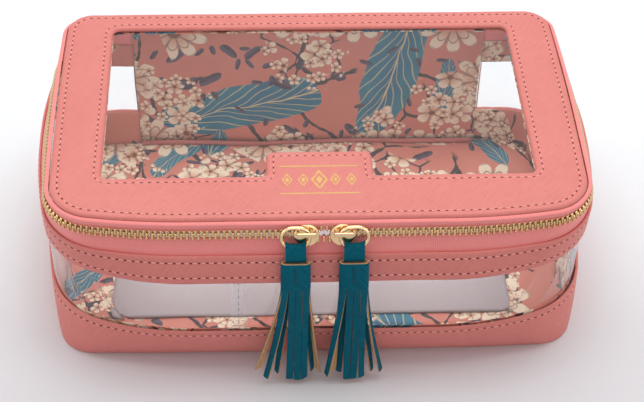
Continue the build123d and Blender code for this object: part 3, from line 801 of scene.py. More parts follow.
def with_blossoms(n, cloth, at, sprays):
    """Sparse large blossoms with many petals and sprays of small ones, each with a throat and a warm centre."""
    line = colour(150, 96, 78)
    for cell, petals, size, chance, low, moved in (
            (0.04, 9.0, 0.46, 0.4, 0.0, (0.2, 0.13, 0)), (0.019, 5.0, 0.47, 0.6, 0.5, (0.05, 0.4, 0)),
            (0.0125, 5.0, 0.46, 0.55, 0.53, (0.7, 0.2, 0)), (0.0085, 5.0, 0.42, 0.5, 0.47, (0.3, 0.9, 0))):
        bloom = use(n, PRINT, Vector=n.map(at, location=moved), Cell=cell, Petals=petals, Size=size, Deep=0.4,
                    Stretch=1.0, Chance=chance)
        out_from_middle = bloom.outputs["Radius"]
        turn = n.math("MULTIPLY", bloom.outputs["Angle"], petals / 2)
        petal = n.mix(n.ramp(out_from_middle, 0.15, 0.8), colour(222, 168, 136), colour(250, 232, 206))
        notch = n.math("ABSOLUTE", n.math("SINE", turn))
        petal = n.mix(n.ramp(notch, 0.86, 1.0, 0.0, 0.8), petal, line)
        petal = n.mix(n.ramp(out_from_middle, 0.86, 0.97, 0.0, 0.7), petal, colour(156, 104, 86))
        if petals > 5:
            # A second, smaller whorl of petals lies on the first
            whorl = n.math("ABSOLUTE", n.math("COSINE", turn))
            step = n.math("SUBTRACT", n.math("MULTIPLY_ADD", whorl, 0.2, 0.42), out_from_middle)
            petal = n.mix(n.ramp(n.math("ABSOLUTE", step), 0.01, 0.035, 0.8, 0.0), petal, line)
        petal = n.mix(n.ramp(out_from_middle, 0.14, 0.24, 1.0, 0.0), petal, colour(126, 70, 40))
        mask = n.math("MULTIPLY", bloom.outputs["Mask"], n.ramp(sprays, low, low + 0.02) if low else 1.0)
        cloth = n.mix(mask, cloth, petal)
    return cloth


def printed_cloth(name, shift=(0, 0, 0)):
    """Coral cloth with sprigs, leaves and blossoms, woven and soft."""
    material, n, shader, out = new_material(name)
    at = n.map(uv_of(n), location=shift)
    warp = n.add("TexNoise")
    n.link(at, warp.inputs["Vector"])
    warp.inputs["Scale"].default_value = 30.0
    bent = n.add("VectorMath", operation="MULTIPLY_ADD")
    n.link(warp.outputs["Color"], bent.inputs[0])
    bent.inputs[1].default_value = (0.012, 0.012, 0.0)
    n.link(at, bent.inputs[2])
    sprays = n.noise(at, 17.0, 0.0)
    cloth = n.mix(n.noise(at, 40.0, 3.0), colour(206, 120, 102), colour(224, 139, 120))
    cloth = with_twigs(n, cloth, at, bent.outputs[0], sprays)
    cloth = with_broad_leaves(n, cloth, at, bent.outputs[0])
    cloth = with_small_leaves(n, cloth, bent.outputs[0])
    cloth = with_blossoms(n, cloth, at, sprays)
    weave = use(n, WEAVE, Vector=at, Pitch=0.35 * MM)
    cloth = n.mix(n.math("MULTIPLY", weave.outputs[0], 0.12), cloth, colour(120, 80, 72))
    n.link(cloth, shader.inputs["Base Color"])
    shader.inputs["Roughness"].default_value = 0.6
    shader.inputs["Sheen Weight"].default_value = 0.1
    n.bump(shader, weave.outputs[0], 0.35, 0.08 * MM)
    return material


floor_print = printed_cloth("printed lining of the floor")
wall_print = printed_cloth("printed lining of the walls", shift=(0.23, 0.41, 0))

# %% [markdown]
# First the base: the leather under the bag, the two bands, the back panel and the clear windows between them. The
# bands are sewn over the sheet, so each has a rolled edge and a shallow groove where the thread pulls it in. The clear
# sheet hangs a little slack and carries soft waves, with two sharper creases near each front corner.

# %% Walls of the base
def place(obj, body, slot, material, *nodes):
    """Gives a piece its finish and its body, and hides the solids that it stands for."""
    if material is not None:
        obj.data.materials.append(material)
    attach(obj, body)
    if nodes:
        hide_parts(*nodes)
    print(f"{obj.name}: {len(obj.data.polygons)} faces on {body}")
    return obj


EDGE_ROW = 3.2 * MM
LOWER_ROWS = [WINDOW_BOTTOM - EDGE_ROW]
UPPER_ROWS = [WINDOW_TOP + EDGE_ROW, BAND_TOP - EDGE_ROW]
SOFT, SOFT_SCALE = 0.45 * MM, 0.035
LINING = 0.45 * MM
FOOT_Z = 0.05 * MM

for node, z0, z1, steps, sewn in (("lower_band", FOOT_Z, WINDOW_BOTTOM, 14, LOWER_ROWS),
                                  ("upper_band", WINDOW_TOP, BAND_TOP, 6, UPPER_ROWS)):
    leather_band = band(node.replace("_", " "), strip_profile(z0, z1, 0, LEATHER, 0.4, steps, sewn), None, None,
                        uneven=SOFT, uneven_scale=SOFT_SCALE)
    place(leather_band, "case", "coral_leather", coral_leather, node)


def slack(u, z):
    """How far the clear sheet stands out of the smooth wall: slow waves and four creases."""
    middle = (WINDOW_TOP + WINDOW_BOTTOM) / 2
    half = (WINDOW_TOP - WINDOW_BOTTOM) / 2
    free = np.clip(1 - ((z - middle) / half) ** 2, 0, 1)
    mm = u / MM
    waves = 0.5 * np.sin(mm / 17.0 + 0.6) + 0.35 * np.sin(mm / 7.3 + (z / MM) / 9.0)
    crease = 0
    for at, lean, size in ((96, 0.55, 1.1), (-99, -0.6, 1.2), (112, 0.3, 0.7), (-118, -0.25, 0.8)):
        away = mm - at - lean * (z - middle) / MM
        crease = crease + size * np.exp(-(away / 2.2) ** 2)
    return free * (waves + crease - 0.4) * MM


SHEET = 0.4 * MM
SHEET_ROWS = 22
LAP = 4 * MM
PRESSED, THINNEST = 3.2 * MM, 0.04
WINDOW_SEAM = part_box("window_left")[1].x - LAP


def sheet_profile(z0, z1, inset):
    heights = np.linspace(z0, z1, SHEET_ROWS)
    return [(h, inset) for h in heights] + [(h, inset + SHEET) for h in heights[::-1]]


for name, node, inset, u0, u1 in (
        ("left window sheet", "window_left", SHEET_IN, None, WINDOW_SEAM + LAP),
        ("right window sheet", "window_right", SHEET_IN + SHEET + 0.05 * MM, WINDOW_SEAM - LAP, None)):
    step = 1.6 * MM
    sheet = band(name, sheet_profile(WINDOW_BOTTOM - LAP, WINDOW_TOP + LAP, inset), u0, u1, step=step, bulge=slack)
    # The lapped end is pressed thin, so that its edge hardly shows
    m = 2 * SHEET_ROWS
    rows = len(sheet.data.vertices) // m
    for i in range(rows):
        away = (rows - 1 - i if u0 is None else i) * step
        thin = max(THINNEST, min(1.0, away / PRESSED))
        if thin < 1:
            for j in range(SHEET_ROWS):
                outer, inner = sheet.data.vertices[i * m + j], sheet.data.vertices[i * m + m - 1 - j]
                inner.co = outer.co + (inner.co - outer.co) * thin
    place(sheet, "case", "clear_sheet", clear_sheet, node)
    # The last ring of faces at the lap and both cut ends
    sheet.data.materials.append(sheet_edge)
    lapped = range((rows - 2) * m, (rows - 1) * m) if u0 is None else range(m)
    for k in [*lapped, len(sheet.data.polygons) - 2, len(sheet.data.polygons) - 1]:
        sheet.data.polygons[k].material_index = 1

FLOOR_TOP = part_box("floor_lining")[1].z
for node, z0, z1 in (("lower_band_lining", FLOOR_TOP, WINDOW_BOTTOM), ("upper_band_lining", WINDOW_TOP, BAND_TOP)):
    lining = band(node.replace("_", " "), strip_profile(z0, z1, LINING_IN, LINING, 0.3, 8), None, None,
                  uneven=SOFT, uneven_scale=SOFT_SCALE)
    place(lining, "case", "printed_lining", wall_print, node)


# %% [markdown]
# The back of the bag is flat, and above the zip a strip of the same leather holds the lid. Both have the sewn
# profile of the bands, carried straight across. The floor is three plates, one on the other: leather, a stiff board
# and the lining. Their outlines come from the wall, so they follow its curves.

# %% Back panel, hinge and floor
BACK_UNEVEN, BACK_SCALE = 0.3 * MM, 0.04


def panel(name, half, z0, z1, y, thick, grooves=()):
    """An upright sheet across the back, with soft edges and sewn grooves."""
    xs = np.linspace(-half, half, 74)
    profile = strip_profile(z0, z1, 0, thick, 0.4, 16, grooves)
    z, inset = np.array(profile).T
    m = len(profile)
    side = np.maximum(0, 1 - (half - np.abs(xs)) / (0.5 * thick)) ** 2 * 0.35 * thick
    middle = thick / 2
    points = []
    for x, s in zip(xs, side):
        depth = np.where(inset < middle, np.minimum(inset + s, middle), np.maximum(inset - s, middle))
        points.append(np.stack([np.full(m, x), y - depth, z], axis=1))
    points = np.concatenate(points)
    points[:, 1] += ruffle(points, BACK_UNEVEN, BACK_SCALE, len(name))
    around = distances(np.column_stack([z, inset]))
    uvs = np.array([(-x, a) for x in xs for a in around])
    return make_object(name, points, [face[::-1] for face in swept_faces(len(xs), m)], uvs)


SEAM = 0.15 * MM
back_panel = panel("back panel", BACK_HALF, FOOT_Z, ZIP_Z - SEAM, BACK, LEATHER, [EDGE_ROW])
place(back_panel, "case", "coral_leather", coral_leather, "back_panel")
back_lining = panel("back lining", BACK_HALF, FLOOR_TOP, ZIP_Z - SEAM, BACK - SHEET_IN, LINING)
place(back_lining, "case", "printed_lining", floor_print, "back_panel_lining")
LID_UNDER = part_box("lid_frame")[0].z
HINGE_TOP = LID_UNDER - 0.05 * MM
hinge_strip = panel("hinge strip", BACK_HALF, ZIP_Z + SEAM, HINGE_TOP, BACK, LEATHER)
place(hinge_strip, "lid", "coral_leather", coral_leather, "hinge_strip")
hinge_lining = panel("hinge lining", BACK_HALF, ZIP_Z + SEAM, HINGE_TOP, BACK - SHEET_IN, LINING)
place(hinge_lining, "lid", "printed_lining", wall_print, "hinge_lining")


def level(x, y, d):
    return np.zeros(len(x))


base_panel = plate("base panel", whole_ring(FOOT_Z, SHEET_IN + 0.05 * MM), [], LEATHER, LEATHER, level,
                   step=8 * MM, fine=3 * MM)
place(base_panel, "case", "coral_leather", coral_leather, "base_panel")
BOARD_LOW, BOARD_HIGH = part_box("base_board")
inner_floor = whole_ring(FOOT_Z, SHEET_IN + 0.55 * MM)
base_board = plate("base board", inner_floor, [], BOARD_HIGH.z, BOARD_HIGH.z - BOARD_LOW.z, level, step=12 * MM,
                   fine=3 * MM)
place(base_board, "case", "stiff_board", board_grey, "base_board")
floor_lining = plate("floor lining", inner_floor, [], FLOOR_TOP, LINING, level, step=6 * MM, fine=2 * MM,
                     uneven=0.25 * MM)
place(floor_lining, "case", "printed_lining", floor_print, "floor_lining")


def tube(name, path, radius, sides, closed=False):
    """A round bar swept along points."""
    path = np.asarray(path, float)
    n = len(path)
    ahead = np.roll(path, -1, axis=0) - np.roll(path, 1, axis=0) if closed else np.gradient(path, axis=0)
    ahead /= np.linalg.norm(ahead, axis=1)[:, None]
    helper = np.array([0.0, 0.0, 1.0]) if abs(ahead[0][2]) < 0.8 else np.array([1.0, 0.0, 0.0])
    side = np.cross(ahead, helper)
    side /= np.linalg.norm(side, axis=1)[:, None]
    lift = np.cross(side, ahead)
    angles = np.linspace(0, 2 * math.pi, sides, endpoint=False)
    ring = np.cos(angles)[None, :, None] * side[:, None] + np.sin(angles)[None, :, None] * lift[:, None]
    points = path[:, None] + ring * radius
    lengths = distances(path)
    uvs = np.array([(l, a * radius) for l in lengths for a in angles])
    return make_object(name, points.reshape(-1, 3), swept_faces(n, sides, closed), uvs)


pipe_low, pipe_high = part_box("floor_piping")
pipe_x = np.linspace(pipe_low.x, pipe_high.x, 60)
pipe_mid = (pipe_low + pipe_high) / 2
piping = tube("floor piping", [(x, pipe_mid.y, pipe_mid.z) for x in pipe_x], (pipe_high.z - pipe_low.z) / 2, 14)
place(piping, "case", "coral_leather", piping_coral, "floor_piping")

card_low, card_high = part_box("insert_card")
card_mid = (card_low + card_high) / 2


def waviness(x, y, d):
    """The loose card lies a little wavy, more so towards its ends."""
    return (0.5 * MM * (1 + np.sin(x / (21 * MM) + y / (50 * MM)))
            * (0.4 + 0.6 * np.abs(x - card_mid.x) / (90 * MM)))


card_outline = rounded_box(card_low.x, card_high.x, card_low.y, card_high.y, 1 * MM)
card = plate("insert card", card_outline, [], card_high.z, card_high.z - card_low.z, waviness, step=5 * MM,
             fine=2 * MM)
place(card, "case", "insert_paper", card_white, "insert_card")

# %% [markdown]
# The lid is a leather frame over a board, with a tab that reaches into the window from the front. Its edges are
# turned and rounded, and a sewn groove follows both edges.

# %% Lid
OPENING_HALF, OPENING_FRONT, OPENING_BACK, OPENING_RADIUS = 99.5 * MM, 47.5 * MM, 62.5 * MM, 3.5 * MM
TAB_HALF, TAB_REACH, TAB_RADIUS = 24.5 * MM, 16.5 * MM, 3.5 * MM


def corner(cx, cy, r, start, stop, steps=8):
    angles = np.radians(np.linspace(start, stop, steps + 1))
    return [(cx + r * math.cos(a), cy + r * math.sin(a)) for a in angles]


def opening_outline(grow):
    """Outline of the window's opening, counter-clockwise, moved outward by a distance."""
    x, y0, y1 = OPENING_HALF + grow, -OPENING_FRONT - grow, OPENING_BACK + grow
    r = max(OPENING_RADIUS + grow, 0.5 * MM)
    half, top = TAB_HALF - grow, y0 + TAB_REACH
    tab_r = max(TAB_RADIUS - grow, 0.6 * MM)
    foot_r = max(1.5 * MM + grow, 0.5 * MM)
    points = corner(-x + r, y0 + r, r, 180, 270)
    points += corner(-half - foot_r, y0 + foot_r, foot_r, -90, 0)
    points += corner(-half + tab_r, top - tab_r, tab_r, 180, 90)
    points += corner(half - tab_r, top - tab_r, tab_r, 90, 0)
    points += corner(half + foot_r, y0 + foot_r, foot_r, 180, 270)
    points += corner(x - r, y0 + r, r, 270, 360)
    points += corner(x - r, y1 - r, r, 0, 90)
    points += corner(-x + r, y1 - r, r, 90, 180)
    return np.array(points)


LID_ROW = 3.4 * MM
TURNED = 1.6 * MM
PADDED = 0.35 * MM
LID_UNEVEN = 0.18 * MM


def lid_height(x, y, d):
    """Turned over at the edge, drawn in by the stitches and padded inside them."""
    rounded = plate_edge(TURNED)(x, y, d)
    sewn = 0.28 * MM * np.exp(-(((d - LID_ROW) / (0.6 * MM)) ** 2))
    filled = PADDED * np.clip((d - LID_ROW) / (5 * MM), 0, 1) ** 0.7
    return rounded - sewn + filled


lid_frame = plate("lid frame", whole_ring(HEIGHT), [opening_outline(0)], HEIGHT, HEIGHT - LID_UNDER, lid_height,
                  step=4 * MM, fine=0.8 * MM, fine_to=5.5 * MM, uneven=LID_UNEVEN)
place(lid_frame, "lid", "coral_leather", coral_leather, "lid_frame")
lid_inside = whole_ring(HEIGHT, LINING_IN + LEATHER)
for node, material, slot, inner in (("lid_board", board_grey, "stiff_board", LAP),
                                    ("lid_lining", wall_print, "printed_lining", 0.0)):
    low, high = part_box(node)
    layer = plate(node.replace("_", " "), lid_inside, [opening_outline(inner)], high.z, high.z - low.z, level,
                  step=8 * MM, fine=2 * MM)
    place(layer, "lid", slot, material, node)


def lid_ripple(x, y, d):
    """Slow unevenness that dies out where the sheet is held at its edge."""
    return ruffle(np.column_stack([x, y, np.zeros(len(x))]), 0.5 * MM, 0.05, 5) * np.clip(d / (12 * MM), 0, 1)


low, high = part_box("lid_window")
lid_window = plate("lid window", opening_outline(LAP), [], high.z, high.z - low.z, lid_ripple, step=4 * MM,
                   fine=2 * MM)
place(lid_window, "lid", "clear_sheet", clear_sheet, "lid_window")

# %% [markdown]
# The zip: two woven tapes with a bound edge, and two rows of metal teeth that mesh between them. Each tooth is one
# small bevelled block that grips the tape's edge, turned to the wall at its own place. Between the sliders the rows
# part a little, as they do where two sliders meet.

# %% Zip
PITCH = 2.54 * MM
TOOTH_WIDTH, TOOTH_THICK, TOOTH_FOOT, TOOTH_TIP = 1.2 * MM, 2.6 * MM, 2.4 * MM, 0.9 * MM
TAPE, TAPE_SPLIT = 0.75 * MM, 1.4 * MM
TAPE_SWELL, SWELL_AT, SWELL_REACH = 2.3 * MM, 87.8 * MM, 1.6 * MM
tape_heights = {
    "lower_zip_tape": (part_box("lower_zip_tape")[0].z, ZIP_Z - TAPE_SPLIT, "case"),
    "upper_zip_tape": (ZIP_Z + TAPE_SPLIT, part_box("upper_zip_tape")[1].z, "lid"),
}


def pucker(u, z):
    """The upper tape swells out from under the lid's edge."""
    return TAPE_SWELL * np.exp(-(((z - SWELL_AT) / SWELL_REACH) ** 2))


for node, (z0, z1, body) in tape_heights.items():
    tape = band(node.replace("_", " "), strip_profile(z0, z1, SHEET_IN, TAPE, 0.45, 14), None, None, step=2 * MM,
                uneven=0.12 * MM, uneven_scale=0.02, bulge=pucker if node == "upper_zip_tape" else None)
    place(tape, body, "zip_tape", zip_tape, node)

# The chain's centre line, walked in steps so that any distance along it gives a place
CHAIN_IN = SHEET_IN + TAPE / 2
chain_u = np.linspace(0, HALF_ROUND, 4000)
chain_xyz = wall(chain_u, np.full(len(chain_u), ZIP_Z), CHAIN_IN)
chain_at = distances(chain_xyz)


def chain_distance(y):
    """Distance from the middle at which the chain's right half reaches a place from front to back."""
    return np.interp(y, chain_xyz[:, 1], chain_at)


def chain_frame(distance):
    """Place, direction along the chain, up the tape and out of the bag."""
    u = np.interp(abs(distance), chain_at, chain_u)
    a, b = wall(np.array([u - 0.5 * MM, u + 0.5 * MM]), ZIP_Z, CHAIN_IN)
    low, high = (ZIP_Z, HEIGHT) if abs(distance) < STRAIGHT_FRONT else (ZIP_Z - 3 * MM, ZIP_Z + 3 * MM)
    foot, top = wall(np.array([u, u]), np.array([low, high]), CHAIN_IN)
    at = (a + b) / 2
    along = unit(b - a)
    up = top - foot
    up = unit(up - along * up.dot(along))
    out = np.cross(along, up)
    if distance < 0:
        mirror = np.array([-1, 1, 1])
        at, along, up, out = at * mirror, -along * mirror, up * mirror, out * mirror
    return at, along, up, out


PARTING_FULL, PARTING_END, PARTING = 4.8 * MM, 9.6 * MM, 2.1 * MM


def parting(distance):
    """How far each row stands off the centre line between the two sliders."""
    share = min(1.0, max(0.0, (PARTING_END - abs(distance)) / (PARTING_END - PARTING_FULL)))
    return PARTING * share * share * (3 - 2 * share)


# Half width and place from foot to head of a tooth, as shares of its width and length
TOOTH_HALF = [(0.5, 0.0), (0.5, 0.42), (0.36, 0.55), (0.36, 0.7), (0.48, 0.8), (0.46, 0.93), (0.3, 1.0)]
TOOTH_OUTLINE = [(-x, y) for x, y in TOOTH_HALF] + [(x, y) for x, y in TOOTH_HALF[::-1]]
TOOTH_LAYERS = [(-0.5, 0.78), (-0.38, 1.0), (0.38, 1.0), (0.5, 0.78)]


def layered(outline, layers, length, width, thick, centre=0.5):
    """A block of layers of one outline, each shrunk about its middle: points and faces."""
    points = [(x * width * s, ((y - centre) * s + centre) * length, d * thick)
              for d, s in layers for x, y in outline]
    *skin, foot, head = swept_faces(len(layers), len(outline))
    return np.array(points), skin + [foot[::-1], head[::-1]]


def chain_blocks(name, places, side, shape, faces, foot):
    """Copies of a block along one row of the chain. The block's own y runs from its foot to its head."""
    verts, all_faces = [], []
    for distance in places:
        at, along, up, out = chain_frame(distance)
        y = side * (foot - shape[:, 1] + parting(distance))
        start = len(verts)
        verts.extend(at + shape[:, :1] * along + y[:, None] * up + shape[:, 2:] * out)
        all_faces.extend(tuple(start + k for k in (f if side > 0 else f[::-1])) for f in faces)
    return make_object(name, verts, all_faces, smooth=False)


tooth, tooth_faces = layered(TOOTH_OUTLINE, TOOTH_LAYERS, TOOTH_FOOT + TOOTH_TIP, TOOTH_WIDTH, TOOTH_THICK)
SQUARE = [(-0.5, 0.0), (-0.5, 1.0), (0.5, 1.0), (0.5, 0.0)]
STOP_LENGTH = 5 * MM
stop, stop_faces = layered(SQUARE, TOOTH_LAYERS, TOOTH_FOOT, STOP_LENGTH, TOOTH_THICK)
for word, side, phase, body in (("lower", -1, 0.25, "case"), ("upper", 1, 0.75, "lid")):
    count = int(chain_distance(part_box(f"{word}_zip_teeth")[1].y) / PITCH) + 1
    places = [(i + phase) * PITCH for i in range(-count, count)]
    row = chain_blocks(f"{word} teeth", places, side, tooth, tooth_faces, TOOTH_FOOT)
    place(row, body, "gold_metal", brass, f"{word}_zip_teeth")
    end = chain_distance(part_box(f"{word}_zip_stops")[1].y) - STOP_LENGTH / 2
    stops = chain_blocks(f"{word} stops", [-end, end], side, stop, stop_faces, TOOTH_FOOT + SEAM)
    place(stops, body, "gold_metal", gold, f"{word}_zip_stops")

# Past the stops the lower tape is wider, and its edge closes the slot up to the other tape
past = float(np.interp(end + STOP_LENGTH / 2 + 0.6 * MM, chain_at, chain_u))
closing_profile = strip_profile(ZIP_Z - TAPE_SPLIT - 1 * MM, ZIP_Z + TAPE_SPLIT - 0.12 * MM, SHEET_IN + 0.1 * MM,
                                TAPE - 0.1 * MM, 0.3, 5)
for word, u0, u1 in (("left", None, -past), ("right", past, None)):
    closing = band(f"tape end {word}", closing_profile, u0, u1, step=1.5 * MM)
    place(closing, "case", "zip_tape", zip_tape)

# %% [markdown]
# The two sliders sit on the straight front of the zip. All their parts are built in one local frame: x along the
# chain, y up the tape, w out of the bag.

# %% Sliders and rings
front_at, front_x, front_up, front_out = chain_frame(0.0)
RIGHT_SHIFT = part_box("ring_right")[1].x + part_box("ring_left")[0].x


def front(points, side=-1):
    """Local points (x, y, w) as places in the frame. The right slider stands a little further out."""
    p = np.atleast_2d(np.asarray(points, float))
    x = p[:, :1] + (RIGHT_SHIFT if side > 0 else 0.0)
    return front_at + x * front_x + p[:, 1:2] * front_up + p[:, 2:] * front_out


NOSE, WIDE, NARROW, SLIDER_LENGTH = 1.5 * MM, 5.5 * MM, 3.7 * MM, 11.6 * MM
CAVITY, PLATE = 1.6 * MM, 1.1 * MM
PLATE_TOP = CAVITY + PLATE
BRIDGE_AT, BRIDGE_UP, BRIDGE_RISE, BRIDGE_BAR = 7.4 * MM, 2.3 * MM, 3.8 * MM, 1.2 * MM
BRIDGE_LENGTH, BRIDGE_WIDTH = 8.6 * MM, 2.0 * MM
WIRE, RING_HALF_WIDTH, RING_HALF_HEIGHT = 0.85 * MM, 6.25 * MM, 4.8 * MM
RING_X, RING_Y, RING_LEVEL = 12.1835 * MM, -0.0887 * MM, 4.65 * MM


def teardrop(side, shrink, steps=18):
    """Hull of a wide and a narrow circle, drawn in by a distance, counter-clockwise seen from outside."""
    wide_x, narrow_x = NOSE + WIDE, NOSE + SLIDER_LENGTH - NARROW
    tilt = math.acos((WIDE - NARROW) / (narrow_x - wide_x))
    points = []
    for cx, r, start, stop in ((wide_x, WIDE, tilt, 2 * math.pi - tilt), (narrow_x, NARROW, -tilt, tilt)):
        for k in range(steps + 1):
            a = start + (stop - start) * k / steps
            points.append((side * (cx + (r - shrink) * math.cos(a)), (r - shrink) * math.sin(a)))
    return points if side > 0 else points[::-1]


def stack(rings):
    """Points and faces of closed outlines at rising levels, with both ends filled."""
    points = [(x, y, w) for w, outline in rings for x, y in outline]
    return points, stacked_faces(len(rings), len(rings[0][1]))


def join_parts(name, parts, side):
    verts, faces = [], []
    for points, part_faces in parts:
        start = len(verts)
        verts.extend(points)
        faces.extend(tuple(start + k for k in f) for f in part_faces)
    return make_object(name, front(np.array(verts), side), faces)


def soft_box(x0, x1, y0, y1, w0, w1, r):
    """A box with rounded upright edges and eased faces."""
    rings = []
    for w, in_by in ((w0, r * 0.6), (w0 + r * 0.4, r * 0.15), (w0 + r, 0), (w1 - r, 0), (w1 - r * 0.4, r * 0.15),
                     (w1, r * 0.6)):
        outline = rounded_box(x0 + in_by, x1 - in_by, y0 + in_by, y1 - in_by, max(r - in_by, r * 0.3), 4)
        rings.append((w, outline))
    return stack(rings)


def auto_smooth(obj, degrees=35):
    """Smooth shading with sharp edges kept where faces meet at more than an angle."""
    mesh = bmesh.new()
    mesh.from_mesh(obj.data)
    for edge in mesh.edges:
        edge.smooth = len(edge.link_faces) == 2 and edge.calc_face_angle(0) < math.radians(degrees)
    for face in mesh.faces:
        face.smooth = True
    mesh.to_mesh(obj.data)
    mesh.free()
    return obj


def slider(word, side):
    """Two teardrop plates with a post between them and lips at their edges, and the bridge that holds the ring."""
    # Height above the plate's own inner face, and how far the outline is drawn in there
    dome = [(0.0, 0.35 * MM), (0.12 * MM, 0.1 * MM), (0.35 * MM, 0.0), (PLATE - 0.45 * MM, 0.0),
            (PLATE - 0.18 * MM, 0.14 * MM), (PLATE - 0.03 * MM, 0.45 * MM), (PLATE + 0.06 * MM, 1.2 * MM),
            (PLATE + 0.1 * MM, 2.2 * MM), (PLATE + 0.12 * MM, 3.3 * MM)]
    face = stack([(CAVITY + h, teardrop(side, s)) for h, s in dome])
    back_face = stack([(-PLATE_TOP + h, teardrop(side, s)) for h, s in dome[:4] + [(PLATE, 0.1 * MM)]])
    post_x = sorted((side * (NOSE + 0.5 * MM), side * (NOSE + 2.7 * MM)))
    post = soft_box(*post_x, -0.6 * MM, 0.6 * MM, -CAVITY, CAVITY, 0.15 * MM)
    parts = [face, back_face, post]
    lip_x = sorted((side * (NOSE + WIDE), side * (NOSE + SLIDER_LENGTH - NARROW + 1 * MM)))
    for low, high in ((0.65 * MM, CAVITY), (-CAVITY, -0.65 * MM)):
        for y in (-1, 1):
            lip_y = sorted((y * 3.9 * MM, y * 4.7 * MM))
            parts.append(soft_box(*lip_x, *lip_y, low, high, 0.15 * MM))
    body = join_parts(f"slider {word} metal", parts, side)
    place(auto_smooth(body), f"slider_{word}", "gold_metal", gold, f"slider_{word}_body")
    x, half, width = side * BRIDGE_AT, BRIDGE_LENGTH / 2, BRIDGE_WIDTH / 2
    top = PLATE_TOP + BRIDGE_RISE
    leg = 1.4 * MM
    low_y, high_y = BRIDGE_UP - width, BRIDGE_UP + width
    parts = [soft_box(x - half, x + half, low_y, high_y, top, top + BRIDGE_BAR, 0.35 * MM)]
    for start in (x - half, x + half - leg):
        parts.append(soft_box(start, start + leg, low_y + 0.1 * MM, high_y - 0.1 * MM, PLATE_TOP - 0.1 * MM,
                              top + 0.3 * MM, 0.3 * MM))
    bridge = join_parts(f"slider {word} bridge bar", parts, side)
    place(auto_smooth(bridge), f"slider_{word}", "gold_metal", gold, f"slider_{word}_bridge")


def stadium(half_width, half_depth, steps=20):
    """Counter-clockwise outline of two straight runs joined by half circles."""
    flat = half_width - half_depth
    points = []
    for cx, start in ((flat, -90), (-flat, 90)):
        for k in range(steps + 1):
            a = math.radians(start + 180 * k / steps)
            points.append((cx + half_depth * math.cos(a), half_depth * math.sin(a)))
    return points


for word, side in (("left", -1), ("right", 1)):
    slider(word, side)
    loop = np.array(stadium(RING_HALF_WIDTH, RING_HALF_HEIGHT, 22))
    path = np.column_stack([loop[:, 0] + side * RING_X, loop[:, 1] + RING_Y, np.full(len(loop), RING_LEVEL)])
    ring = tube(f"ring {word} wire", front(path, side), WIRE, 16, closed=True)
    place(ring, f"ring_{word}", "gold_metal", gold, f"ring_{word}")

# %% [markdown]
# The tassels are teal leather, grained on the outside and raw tan on the cut edges and the inside. A strap folds
# round the ring and is caught in a rolled head, and strips hang apart below the head. Each strip is a thin ribbon
# with its own lean, twist and curl, so that some show their tan side.

# %% Tassels
Q_X, Q_Y = RING_X, RING_Y - RING_HALF_HEIGHT
STRAP_WIDTH, STRAP_LENGTH, STRAP_THICK = 9.6 * MM, 7.0 * MM, 0.7 * MM
STRAP_OUT = WIRE + 0.15 * MM + STRAP_THICK
HEAD_WIDTH, HEAD_DEPTH, HEAD_LENGTH = 13.5 * MM, 5.0 * MM, 13.5 * MM
HEAD_TOP = STRAP_LENGTH + 0.05 * MM
HEAD_W = HEAD_DEPTH / 2 - STRAP_OUT
RIND = 1.0 * MM


def two_faced(obj, raw_faces):
    """Teal grained leather, with raw tan on the listed faces and all faces turned outward."""
    obj.data.materials.append(teal_leather)
    obj.data.materials.append(tan_suede)
    for index in raw_faces:
        obj.data.polygons[index].material_index = 1
    mesh = bmesh.new()
    mesh.from_mesh(obj.data)
    bmesh.ops.recalc_face_normals(mesh, faces=mesh.faces)
    mesh.to_mesh(obj.data)
    mesh.free()
    return obj


def strap(word, side):
    """A band that runs up in front of the wire, over it and down behind it."""
    across = np.linspace(-STRAP_WIDTH / 2, STRAP_WIDTH / 2, 15)
    middle = STRAP_OUT - STRAP_THICK / 2
    path = [(-STRAP_LENGTH, middle * 0.55)]
    path += [(y, middle + 0.25 * MM * math.sin(math.pi * -y / STRAP_LENGTH))
             for y in np.linspace(-5.6, -0.6, 7) * MM]
    path += [(middle * math.sin(a), middle * math.cos(a)) for a in np.radians(np.linspace(0, 180, 13))]
    path += [(y, -middle) for y in np.linspace(-0.6, -5.6, 6) * MM] + [(-STRAP_LENGTH, -middle * 0.35)]
    path = np.array(path)
    ahead = np.gradient(path, axis=0)
    normal = np.stack([-ahead[:, 1], ahead[:, 0]], axis=1)
    normal /= np.linalg.norm(normal, axis=1)[:, None]
    half = STRAP_THICK / 2
    flat = RING_HALF_WIDTH - RING_HALF_HEIGHT
    verts, uvs = [], []
    m, n = len(across), len(path)
    lengths = distances(path)
    for layer in (1, -1):
        for k in range(n):
            for x in across:
                over = max(0.0, abs(x) - flat)
                rise = RING_HALF_HEIGHT - math.sqrt(RING_HALF_HEIGHT**2 - over**2)
                fade = min(1.0, max(0.0, 1 + path[k, 0] / STRAP_LENGTH))
                y, w = path[k] + layer * half * normal[k]
                edge = 0.12 * MM if abs(x) > STRAP_WIDTH * 0.49 else 0.0
                verts.append((side * Q_X + x * (1 - 0.04 * fade),
                              Q_Y + y + rise * fade - edge * layer * normal[k, 0],
                              RING_LEVEL + w - edge * layer * normal[k, 1]))
                uvs.append((x, lengths[k]))
    faces, raw = [], []
    for k in range(n - 1):
        for i in range(m - 1):
            a, b, c, d = k * m + i, k * m + i + 1, (k + 1) * m + i + 1, (k + 1) * m + i
            faces += [(a, b, c, d), tuple(v + m * n for v in (d, c, b, a))]
            raw.append(len(faces) - 1)
        for i, flip in ((0, False), (m - 1, True)):
            a, b = k * m + i, (k + 1) * m + i
            quad = (a, b, b + m * n, a + m * n)
            raw.append(len(faces))
            faces.append(quad[::-1] if flip else quad)
    obj = two_faced(make_object(f"tassel {word} strap leather", front(verts, side), faces, uvs), raw)
    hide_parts(f"tassel_{word}_strap")
    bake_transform(obj)


